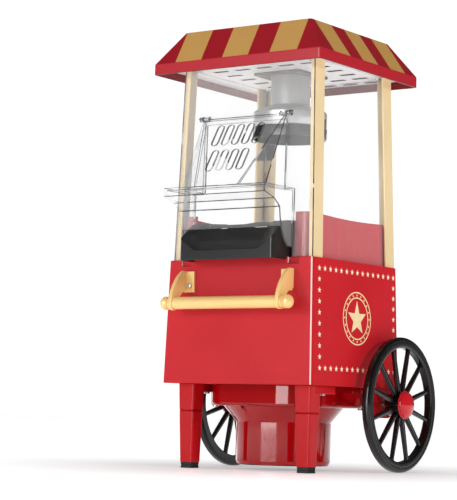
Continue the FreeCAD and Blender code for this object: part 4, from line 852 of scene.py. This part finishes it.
# ------------------------------------------------------------------ sub-assemblies
@dataclass
class Body:
    """Painted steel body: shell, front plate, floor, and the print on its sides."""

    star_radius: float = 3.1 * MM
    star_waist: float = 0.42
    star_height: float = 0.12 * MM
    print_sink: float = 0.3
    border_inset_front: float = 14.0 * MM
    border_inset_back: float = 11.0 * MM
    border_inset_top: float = 10.5 * MM
    border_inset_low: float = 17.0 * MM
    stars_across: int = 15
    stars_up: int = 9
    medal_radius: float = 27.0 * MM
    medal_ring: float = 1.3 * MM
    medal_inner_share: float = 0.80
    medal_star_share: float = 0.66
    medal_bead_share: float = 0.87
    medal_beads: int = 20
    bead_radius: float = 1.0 * MM
    medal_lift: float = 6 * MM
    medal_shift: float = 0.5 * MM

    def build(self) -> None:
        """Build the body's pieces and dress the ones that keep their frame shape."""
        coat_node("body_shell", BODY_RED)
        # The front plate's side edge faces take a painted highlight.
        eased("front_plate", PLATE_RED, 0.6 * MM, 3, PLATE_EDGE_HIGHLIGHT, lambda at, n: abs(n.x) > 0.9, False)
        coat_node("body_floor", BODY_RED)
        for name, side in SIDES:
            self.star_border(name, side)
            self.medal(name, side)

    def side_place(self, side: float, along: float, height: float) -> Matrix:
        """Matrix that lays a flat print on the leaning side wall.

        Args:
            side: -1 for the left wall, 1 for the right one.
            along: Y of the print's middle.
            height: Z of the print's middle.

        Returns:
            The place of a print drawn flat in XY, its face turned outwards.
        """
        box = span("body_shell")
        lower = span_at("body_shell", box.low.z).high.x
        upper = span_at("body_shell", box.high.z).high.x
        lean = (upper - lower) / box.size.z
        wall = lower + (height - box.low.z) * lean
        outwards = Vector((side, 0, -lean)).normalized()
        sideways = Vector((0, side, 0))
        up = outwards.cross(sideways)
        turn = Matrix((sideways, up, outwards)).transposed().to_4x4()
        return Matrix.Translation((side * wall, along, height)) @ turn

    def star(self, name: str, radius: float) -> Work:
        """Five-pointed star, pressed up from a ten-sided disc."""
        star = Work.disc(name, 10, radius)
        with star.editing() as mesh:
            bpy.ops.mesh.select_mode(type="VERT")
            mesh.verts.ensure_lookup_table()
            for index in range(1, 10, 2):
                mesh.verts[index].select_set(True)
            bmesh.update_edit_mesh(star.item.data)
            bpy.ops.transform.resize(value=(self.star_waist,) * 3)
        with star.editing():
            bpy.ops.mesh.select_mode(type="FACE")
            bpy.ops.mesh.select_all(action="SELECT")
            bpy.ops.mesh.extrude_region_move(TRANSFORM_OT_translate={"value": (0, 0, self.star_height)})
            bpy.ops.mesh.select_all(action="SELECT")
            bpy.ops.mesh.normals_make_consistent(inside=False)
        return star

    def star_border(self, name: str, side: float) -> None:
        """Rectangle of printed stars round one side wall."""
        box = span("body_shell")
        front = box.low.y + self.border_inset_front
        back = box.high.y - self.border_inset_back
        top = box.high.z - self.border_inset_top
        low = box.low.z + self.border_inset_low
        spots = []
        for index in range(self.stars_across):
            along = front + (back - front) * index / (self.stars_across - 1)
            spots += [(along, top), (along, low)]
        for index in range(1, self.stars_up):
            height = top + (low - top) * index / self.stars_up
            spots += [(front, height), (back, height)]
        pattern = self.star(f"star_border_{name}", self.star_radius)
        pattern.moved(Matrix.Translation((0, 0, -self.star_height * self.print_sink)))
        copies = [pattern.copied(self.side_place(side, *spot)) for spot in spots[1:]]
        pattern.moved(self.side_place(side, *spots[0]))
        pattern.joined(copies).dressed(STAR_CREAM).fitted("cart", STAR_CREAM)

    def medal(self, name: str, side: float) -> None:
        """Plain round medal with a star and a bead ring, in the middle of one side wall."""
        box = span("body_shell")
        sink = -self.star_height * self.print_sink
        rise = self.star_height
        origin = Vector((0, 0, 0))
        upright = Vector((0, 0, 1))
        rings = []
        for radius in (self.medal_radius, self.medal_radius * self.medal_inner_share):
            profile = [(radius - self.medal_ring, sink), (radius, sink), (radius, rise),
                       (radius - self.medal_ring, rise), (radius - self.medal_ring, sink)]
            rings.append(Work.lathed(f"side_medal_{name}", profile, origin, upright, 72))
        star = self.star(f"side_medal_{name}", self.medal_radius * self.medal_star_share)
        star.moved(Matrix.Translation((0, 0, sink)))
        reach = self.medal_radius * self.medal_bead_share
        beads = []
        for index in range(self.medal_beads):
            angle = math.tau * index / self.medal_beads
            bead = Work.disc("bead", 12, self.bead_radius)
            bead.grow(lambda at, n: True, Vector((0, 0, rise)))
            spot = Vector((reach * math.cos(angle), reach * math.sin(angle), 0))
            beads.append(bead.moved(Matrix.Translation(spot)))
        medal = star.joined(rings + beads)
        middle = (box.low.z + box.high.z) / 2 + self.medal_lift
        medal.moved(self.side_place(side, self.medal_shift, middle))
        medal.dressed(PRINT_CREAM).fitted("cart", PRINT_CREAM)


@dataclass
class RunningGear:
    """Legs, feet, wheels, hub caps and axle parts."""

    spokes: int = 12
    spoke_width: float = 5.0 * MM
    spoke_depth: float = 4.6 * MM
    rim_depth: float = 11.0 * MM
    tread_round: float = 3.0 * MM
    bore: float = 3.1 * MM
    foot_taper: float = 0.96
    groove_low: float = 0.45
    groove_high: float = 0.60

    def build(self) -> None:
        """Build the running gear."""
        for name, side in SIDES:
            eased(f"leg_{name}", LEG_RED, 0.7 * MM, 3)
            self.foot(name)
            self.wheel(name, side)
            self.hub_cap(name, side)
            eased(f"axle_bracket_{name}", LEG_RED, 0.5 * MM)
        coat_node("axle_stubs", ZINC)
        coat_node("axle_clips", ZINC)
        coat_node("chassis_screws", ZINC)

    def foot(self, name: str) -> None:
        """Rubber foot with a waist groove and rounded edges."""
        box = span(f"foot_{name}")
        foot = Work.block(f"rubber_foot_{name}", box.low, box.high)
        height = box.size.z
        foot.grow(lambda at, n: n.z < -0.9, Vector((0, 0, 0)), (self.foot_taper, self.foot_taper, 1.0))
        foot.inset(lambda at, n: n.z < -0.9, 1.6 * MM, -0.5 * MM)
        levels = [box.low.z + height * share for share in (self.groove_low, self.groove_high)]
        with foot.editing():
            for level in levels:
                bpy.ops.mesh.select_all(action="SELECT")
                bpy.ops.mesh.bisect(plane_co=(0, 0, level), plane_no=(0, 0, 1))
        waist = sum(levels) / 2
        foot.inset(lambda at, n: abs(n.z) < 0.3 and abs(at.z - waist) < height * 0.05, 0.12 * MM, -0.45 * MM)
        foot.rounded(0.35 * MM, 2).smooth()
        foot.dressed(FOOT_RUBBER).fitted("cart", FOOT_RUBBER, f"foot_{name}")

    def wheel(self, name: str, side: float) -> None:
        """Spoked wheel: a rounded rim, a stepped hub and tapered spokes."""
        node = f"wheel_{name}"
        box = span(node)
        outer = box.size.z / 2
        centre = Vector((0, box.centre.y, box.centre.z))
        axis = Vector((side, 0, 0))
        face = max(abs(box.low.x), abs(box.high.x))
        hub_in = min(abs(box.low.x), abs(box.high.x))
        rim_out = face - 1.0 * MM
        rim_in = rim_out - 9.0 * MM
        inner = outer - self.rim_depth
        tread = self.tread_round
        profile = [(inner, rim_in + 1.2 * MM), (inner + 1.2 * MM, rim_in)]
        profile += self.corner(outer - tread, rim_in + tread, tread, -90.0, 0.0)
        profile += self.corner(outer - tread, rim_out - tread, tread, 0.0, 90.0)
        shoulder = outer - tread
        profile += [(shoulder - 0.9 * MM, rim_out - 0.05 * MM), (shoulder - 1.3 * MM, rim_out - 0.7 * MM),
                    (shoulder - 1.9 * MM, rim_out - 0.7 * MM), (shoulder - 2.3 * MM, rim_out - 0.1 * MM)]
        profile += self.corner(inner + 1.8 * MM, rim_out - 1.8 * MM, 1.7 * MM, 90.0, 180.0)
        profile += [(inner, rim_in + 1.2 * MM)]
        rim = Work.lathed(f"spoked_wheel_{name}", profile, centre, axis, 144)
        hub = Work.lathed("hub", [
            (self.bore, hub_in), (10.5 * MM, hub_in), (11.2 * MM, hub_in + 0.7 * MM),
            (11.2 * MM, hub_in + 4 * MM), (12.5 * MM, hub_in + 7 * MM), (12.5 * MM, face - 0.8 * MM),
            (11.9 * MM, face - 0.1 * MM), (8.6 * MM, face - 0.1 * MM), (8.5 * MM, face - 4 * MM),
            (self.bore, face - 4 * MM), (self.bore, hub_in),
        ], centre, axis, 72)
        spokes = [self.spoke(centre, side, rim_out, inner, index) for index in range(self.spokes)]
        wheel = rim.joined([hub] + spokes).smooth(34.0)
        wheel.dressed(WHEEL_BLACK).fitted(node, WHEEL_BLACK, node)

    @staticmethod
    def corner(radius: float, along: float, size: float, start: float,
               stop: float) -> list[tuple[float, float]]:
        """Quarter round of a lathe profile, from one angle to another in degrees."""
        turns = [math.radians(start + (stop - start) * step / 6) for step in range(7)]
        return [(radius + size * math.cos(turn), along + size * math.sin(turn)) for turn in turns]

    def spoke(self, centre: Vector, side: float, rim_out: float, inner: float, index: int) -> Work:
        """One tapered spoke with eased edges, turned to its place."""
        near = rim_out - 2.0 * MM
        half = self.spoke_width / 2
        start = 9.5 * MM
        reach = inner + 1.0 * MM - start
        low = Vector((near - self.spoke_depth, -half, start))
        high = Vector((near, half, start + reach * 0.12))
        spoke = Work.block("spoke", low, high)
        spoke.grow(lambda at, n: n.z > 0.9, Vector((0, 0, reach * 0.78)), (0.86, 0.80, 1.0))
        spoke.grow(lambda at, n: n.z > 0.9, Vector((0, 0, reach * 0.10)), (1.08, 1.25, 1.0))
        spoke.rounded(0.9 * MM, 3)
        turn = Matrix.Rotation(math.tau * (index + 0.5) / self.spokes, 4, "X")
        flip = MIRROR_X if side < 0 else Matrix.Identity(4)
        return spoke.moved(flip @ Matrix.Translation(centre) @ turn)

    def hub_cap(self, name: str, side: float) -> None:
        """Domed hub cap with a rolled rim."""
        node = f"hub_cap_{name}"
        box = span(node)
        radius = box.size.z / 2
        seat = min(abs(box.low.x), abs(box.high.x))
        crest = max(abs(box.low.x), abs(box.high.x))
        rise = crest - seat - 1.6 * MM
        profile = [(0.0, seat + 0.02 * MM), (radius - 0.6 * MM, seat + 0.02 * MM),
                   (radius - 0.1 * MM, seat + 0.5 * MM), (radius, seat + 1.0 * MM),
                   (radius - 0.35 * MM, seat + 1.5 * MM)]
        dome = radius - 0.9 * MM
        for step in range(13):
            turn = math.radians(90.0 * step / 12)
            profile.append((dome * math.cos(turn), seat + 1.6 * MM + rise * math.sin(turn)))
        profile[-1] = (0.0, crest)
        cap = Work.lathed(f"domed_cap_{name}", profile, Vector((0, box.centre.y, box.centre.z)),
                          Vector((side, 0, 0)), 96)
        cap.smooth(40.0).dressed(HUB_RED).fitted(body_of(node), HUB_RED, node)


@dataclass
class Handle:
    """Gold push handle with its brackets, ball ends and screws."""

    bracket_edge: float = 0.45 * MM
    bar_end_ease: float = 0.6 * MM
    collar_ease: float = 0.5 * MM
    collar_height: float = 1.2 * MM
    neck_depth: float = 1.3 * MM
    neck_height: float = 1.8 * MM
    ball_share: float = 0.56

    def build(self) -> None:
        """Build the handle."""
        self.bar()
        for name, _ in SIDES:
            eased(f"handle_bracket_{name}", BAR_GOLD, self.bracket_edge)
        self.ball_ends()
        coat_node("handle_screws", ZINC)

    def bar(self) -> None:
        """Round bar with slightly eased ends."""
        box = span("handle_bar")
        radius = box.size.z / 2
        half = box.size.x / 2
        ease = self.bar_end_ease
        profile = [(0, -half), (radius - ease, -half), (radius, ease - half), (radius, half - ease),
                   (radius - ease, half), (0, half)]
        centre = Vector((0, box.centre.y, box.centre.z))
        bar = Work.lathed("push_bar", profile, centre, Vector((1, 0, 0)), 64)
        bar.smooth().dressed(BAR_GOLD).fitted("cart", BAR_GOLD, "handle_bar")

    def ball_ends(self) -> None:
        """Turned knob with a neck and a ball on each end of the bar."""
        box = span("handle_end_caps")
        bar = span("handle_bar")
        radius = box.size.z / 2
        centre = Vector((0, box.centre.y, box.centre.z))
        start = bar.high.x + 0.02 * MM
        length = box.high.x - start
        ball = min(radius, length * self.ball_share)
        middle = box.high.x - ball
        profile = [(0, start), (radius - self.collar_ease, start), (radius, start + self.collar_ease),
                   (radius, start + self.collar_height), (radius - self.neck_depth, start + self.neck_height)]
        for step in range(11):
            turn = math.radians(-40 + 130 * step / 10)
            profile.append((radius * math.cos(turn), middle + ball * math.sin(turn)))
        profile[-1] = (0, box.high.x)
        knob = Work.lathed("bar_knobs", profile, centre, Vector((1, 0, 0)), 64)
        other = knob.copied(MIRROR_X)
        knob.joined([other]).smooth(45.0).dressed(BAR_GOLD).fitted("cart", BAR_GOLD, "handle_end_caps")


@dataclass
class Base:
    """Red blower base with what it holds: motor, fan, heater and popping chamber."""

    edge: float = 0.8 * MM

    def build(self) -> None:
        """Build the base and dress what it holds."""
        eased("base_housing", GLOSS_RED, self.edge, 3)
        coat_node("base_bottom_cover", CASE_BLACK)
        for node in ("motor_bracket", "fan_impeller", "fan_shroud", "chamber_collar"):
            coat_node(node, CASE_BLACK)
        for node in ("fan_motor", "motor_shaft", "heater_housing", "thermostat"):
            coat_node(node, ZINC)
        coat_node("heater_former", MICA)
        coat_node("heater_coil", WIRE)
        coat_node("thermal_fuse", GLAZE)
        coat_node("motor_supply_board", LAMINATE)
        eased("popping_chamber", SPUN, 0.25 * MM)


@dataclass
class Rear:
    """Switch and cord inlet on the back wall."""

    def build(self) -> None:
        """Build the electrical fittings that show."""
        eased("switch_bezel", CASE_BLACK, 0.5 * MM, 3)
        eased("rocker_switch", SWITCH_BLACK, 0.35 * MM)
        eased("cord_gland", CASE_BLACK, 0.3 * MM)


@dataclass
class Cabinet:
    """Gold posts, clear panels, red tub and black chute."""

    post_edge: float = 0.35 * MM
    sheet_edge: float = 0.3 * MM

    def build(self) -> None:
        """Build the cabinet."""
        for name, _ in SIDES:
            eased(f"post_front_{name}", POST_GOLD, self.post_edge)
            eased(f"post_rear_{name}", POST_GOLD, self.post_edge)
            # Painted shade on the clear panels' roundings and cut edges.
            eased(f"side_panel_{name}", SIDE_CLEAR, self.sheet_edge, 1, SOFT_EDGE_SHADE,
                  lambda at, n: abs(n.y) > 0.9)
        eased("back_panel", SIDE_CLEAR, self.sheet_edge, 1, SOFT_EDGE_SHADE, lambda at, n: abs(n.x) > 0.9)
        eased("front_panel", FRONT_CLEAR, self.sheet_edge, 1, DARK_EDGE_SHADE, lambda at, n: abs(n.x) > 0.9)
        eased("cabinet_tub", TUB_RED, 0.5 * MM, 3)
        eased("popcorn_chute", CHUTE_BLACK, 0.8 * MM, 3)


@dataclass
class Door:
    """Clear flap door with its slots and its two hinge pins."""

    edge: float = 0.55 * MM
    slot_reach: float = 31 * MM
    slots_above_lip: float = 40 * MM

    def build(self) -> None:
        """Build the door."""
        lip = span("popcorn_chute").high.z
        slots_low = lip + self.slots_above_lip
        # Painted shade on the door's roundings and slot walls.
        eased("flap_door", DOOR_CLEAR, self.edge, 2, DARK_EDGE_SHADE,
              lambda at, n: at.z > slots_low and abs(at.x) < self.slot_reach and abs(n.y) < 0.35,
              angle=18.0)
        coat_node("door_hinge_pins", ZINC)


@dataclass
class Kettle:
    """Hanging kettle with its kernel tube, mount and lugs."""

    wall: float = 1.6 * MM
    shoulder_round: float = 4.5 * MM
    shoulder_rise: float = 4.0 * MM

    def build(self) -> None:
        """Build the kettle and what it hangs from."""
        self.drum()
        eased("kernel_tube", TUBE_GREY, 0.3 * MM)
        eased("kettle_mount", MOUNT_BROWN, 0.6 * MM, 3)
        eased("kettle_lugs", CASE_BLACK, 0.5 * MM, 3)

    def drum(self) -> None:
        """Turned drum with a rolled lip, a groove and a rounded shoulder."""
        box = span("kettle")
        radius = box.size.x / 2
        low = box.low.z
        high = box.high.z
        neck = span("kernel_tube").size.x / 2 + 0.25 * MM
        wall = self.wall
        groove = low + KETTLE_GROOVE
        lip = (radius - wall - 0.6 * MM, low + 0.3 * MM)
        profile = [lip, (radius - 1.2 * MM, low), (radius - 0.2 * MM, low + 0.6 * MM),
                   (radius, low + 1.6 * MM), (radius, groove - 0.9 * MM),
                   (radius - 0.3 * MM, groove - 0.5 * MM), (radius - 0.8 * MM, groove - 0.3 * MM),
                   (radius - 0.8 * MM, groove + 0.3 * MM),
                   (radius - 0.3 * MM, groove + 0.5 * MM), (radius, groove + 0.9 * MM),
                   (radius, high - 11.5 * MM)]
        for step in range(7):
            turn = math.radians(90 * step / 6)
            profile.append((radius - self.shoulder_round + self.shoulder_round * math.cos(turn),
                            high - KETTLE_SHOULDER + self.shoulder_rise * math.sin(turn)))
        profile += [(neck + 8 * MM, high - 3.6 * MM), (neck + 3 * MM, high - 1.2 * MM),
                    (neck + 0.6 * MM, high - 0.1 * MM), (neck, high - 0.6 * MM), (neck, high - 3.4 * MM),
                    (radius - 6 * MM, high - 7.2 * MM), (radius - wall, high - 11 * MM), lip]
        centre = Vector((box.centre.x, box.centre.y, 0))
        drum = Work.lathed("kettle_drum", profile, centre, Vector((0, 0, 1)), 120)
        drum.smooth(40.0).dressed(KETTLE_GREY).fitted("cart", KETTLE_GREY, "kettle")


@dataclass
class Canopy:
    """Striped canopy, ceiling plate, screws and the loose measuring cap."""

    edge: float = 0.7 * MM

    def build(self) -> None:
        """Build the roof."""
        eased("roof_canopy", CANOPY, self.edge, 3)
        plate = span("ceiling_plate")
        rim = plate.high.x - 6 * MM
        eased("ceiling_plate", CEILING_WHITE, 0.0, 1, SLOT_SHADE,
              lambda at, n: abs(n.z) < 0.5 and abs(at.x) < rim and abs(at.y - plate.centre.y) < rim, False)
        coat_node("ceiling_screws", ZINC)
        eased("measuring_cap", HUB_RED, 0.5 * MM, 3)


# ------------------------------------------------------------------ studio
@dataclass
class Studio:
    """Pale floor, soft lights and the camera."""

    eye: Vector
    lens: float = 133.83
    turn: float = 35.33
    rise: float = 4.91
    roll: float = 1.383
    aim_height: float = 0.22

    def build(self) -> None:
        """Set the whole studio up."""
        self.floor()
        self.sky()
        self.lights()
        self.camera()

    def floor(self) -> None:
        """Large pale floor whose glow is painted light, dimmer near the cart."""
        Work.clear_bench()
        bpy.ops.mesh.primitive_plane_add(size=14.0)
        floor = bpy.context.object
        floor.name = "studio_floor"
        material = bpy.data.materials.new("pale_floor")
        material.use_nodes = True
        graph = Graph(material)
        cloud = graph.noise(3.0, 2.0)
        length = {"operation": "LENGTH"}
        reach = graph.node("ShaderNodeVectorMath", length, {0: graph.point()}, output="Value")
        # Painted light: the floor glows at half colour within 0.15 m of the middle, rising to twice that by
        # 0.5 m.
        far = ((reach - 0.15) / 0.35).clipped()
        graph.surface({
            "Base Color": graph.mix(cloud, (0.93, 0.93, 0.94), (0.91, 0.91, 0.92)),
            "Roughness": 0.32,
            "Specular IOR Level": 0.25,
            "Emission Color": graph.mix(far, (0.50, 0.50, 0.50), (1.0, 1.0, 1.0)),
            "Emission Strength": 0.75,
        })
        floor.data.materials.append(material)

    def sky(self) -> None:
        """White surround: bright to look at, softer as a light."""
        world = bpy.data.worlds.new("studio_surround")
        bpy.context.scene.world = world
        world.use_nodes = True
        tree = world.node_tree
        tree.nodes.clear()
        path = tree.nodes.new("ShaderNodeLightPath")
        output = tree.nodes.new("ShaderNodeOutputWorld")
        made = None
        for strength, ray in ((0.40, None), (0.07, "Is Glossy Ray"), (1.05, "Is Camera Ray")):
            glow = tree.nodes.new("ShaderNodeBackground")
            glow.inputs["Color"].default_value = (1, 1, 1, 1)
            glow.inputs["Strength"].default_value = strength
            if ray is None:
                made = glow
                continue
            choice = tree.nodes.new("ShaderNodeMixShader")
            tree.links.new(path.outputs[ray], choice.inputs[0])
            tree.links.new(made.outputs[0], choice.inputs[1])
            tree.links.new(glow.outputs[0], choice.inputs[2])
            made = choice
        tree.links.new(made.outputs[0], output.inputs["Surface"])

    def lamp(self, name: str, azimuth: float, elevation: float, distance: float, size: tuple[float, float],
             power: float, mirrored: bool = False) -> None:
        """Add one rectangular softbox that points at the cart.

        Args:
            name: Name of the lamp.
            azimuth: Degrees from the front towards the right-hand side.
            elevation: Degrees above the floor.
            distance: Metres from the cart.
            size: Width and height in metres.
            power: Watts.
            mirrored: True for a card that only shows in reflections, False for a lamp that only lights.
        """
        data = bpy.data.lights.new(name, "AREA")
        data.shape = "RECTANGLE"
        data.size, data.size_y = size
        data.energy = power
        lamp = bpy.data.objects.new(name, data)
        turn = math.radians(azimuth)
        lift = math.radians(elevation)
        target = Vector((0, 0, self.aim_height))
        away = Vector((math.sin(turn) * math.cos(lift), -math.cos(turn) * math.cos(lift), math.sin(lift)))
        lamp.location = target + away * distance
        lamp.rotation_euler = (-away).to_track_quat("-Z", "Y").to_euler()
        lamp.visible_glossy = mirrored
        lamp.visible_diffuse = not mirrored
        lamp.visible_transmission = False
        bpy.context.scene.collection.objects.link(lamp)

    def lights(self) -> None:
        """Low key lights from the left and the right, a front softbox and a top light."""
        self.lamp("key_left", -31.0, 9.0, 2.2, (0.20, 0.20), 12.0)
        self.lamp("key_right", 84.0, 11.0, 2.2, (0.20, 0.20), 14.0)
        self.lamp("front_fill", 8.0, 6.0, 2.2, (1.2, 1.2), 3.0)
        self.lamp("top_box", 0.0, 82.0, 2.2, (2.4, 2.4), 14.0)
        self.lamp("front_card", -2.0, 6.0, 2.0, (1.40, 1.2), 48.0, True)
        self.lamp("left_card", -118.0, 10.0, 2.0, (0.30, 1.2), 4.0, True)

    def camera(self) -> None:
        """Camera a little above the floor, looking slightly up."""
        data = bpy.data.cameras.new("studio_camera")
        data.sensor_fit = "VERTICAL"
        data.sensor_height = 36.0
        data.lens = self.lens
        camera = bpy.data.objects.new("studio_camera", data)
        yaw = math.radians(self.turn)
        pitch = math.radians(self.rise)
        ahead = Vector((-math.sin(yaw) * math.cos(pitch), math.cos(yaw) * math.cos(pitch), math.sin(pitch)))
        facing = ahead.to_track_quat("-Z", "Y").to_matrix().to_4x4()
        tilt = Matrix.Rotation(math.radians(self.roll), 4, "Z")
        camera.matrix_world = Matrix.Translation(self.eye) @ facing @ tilt
        bpy.context.scene.collection.objects.link(camera)
        bpy.context.scene.camera = camera
        bpy.context.scene.view_settings.view_transform = "Standard"


def main() -> None:
    """Build the studio and every sub-assembly."""
    logging.basicConfig(level=logging.INFO, format="%(name)s: %(message)s")
    Studio(eye=Vector((1.0641, -1.6038, 0.0602))).build()
    for assembly in (Body(), RunningGear(), Handle(), Base(), Rear(), Cabinet(), Door(), Kettle(), Canopy()):
        LOG.info("building %s", type(assembly).__name__)
        assembly.build()
    Work.clear_bench()


if __name__ == "__main__":
    main()
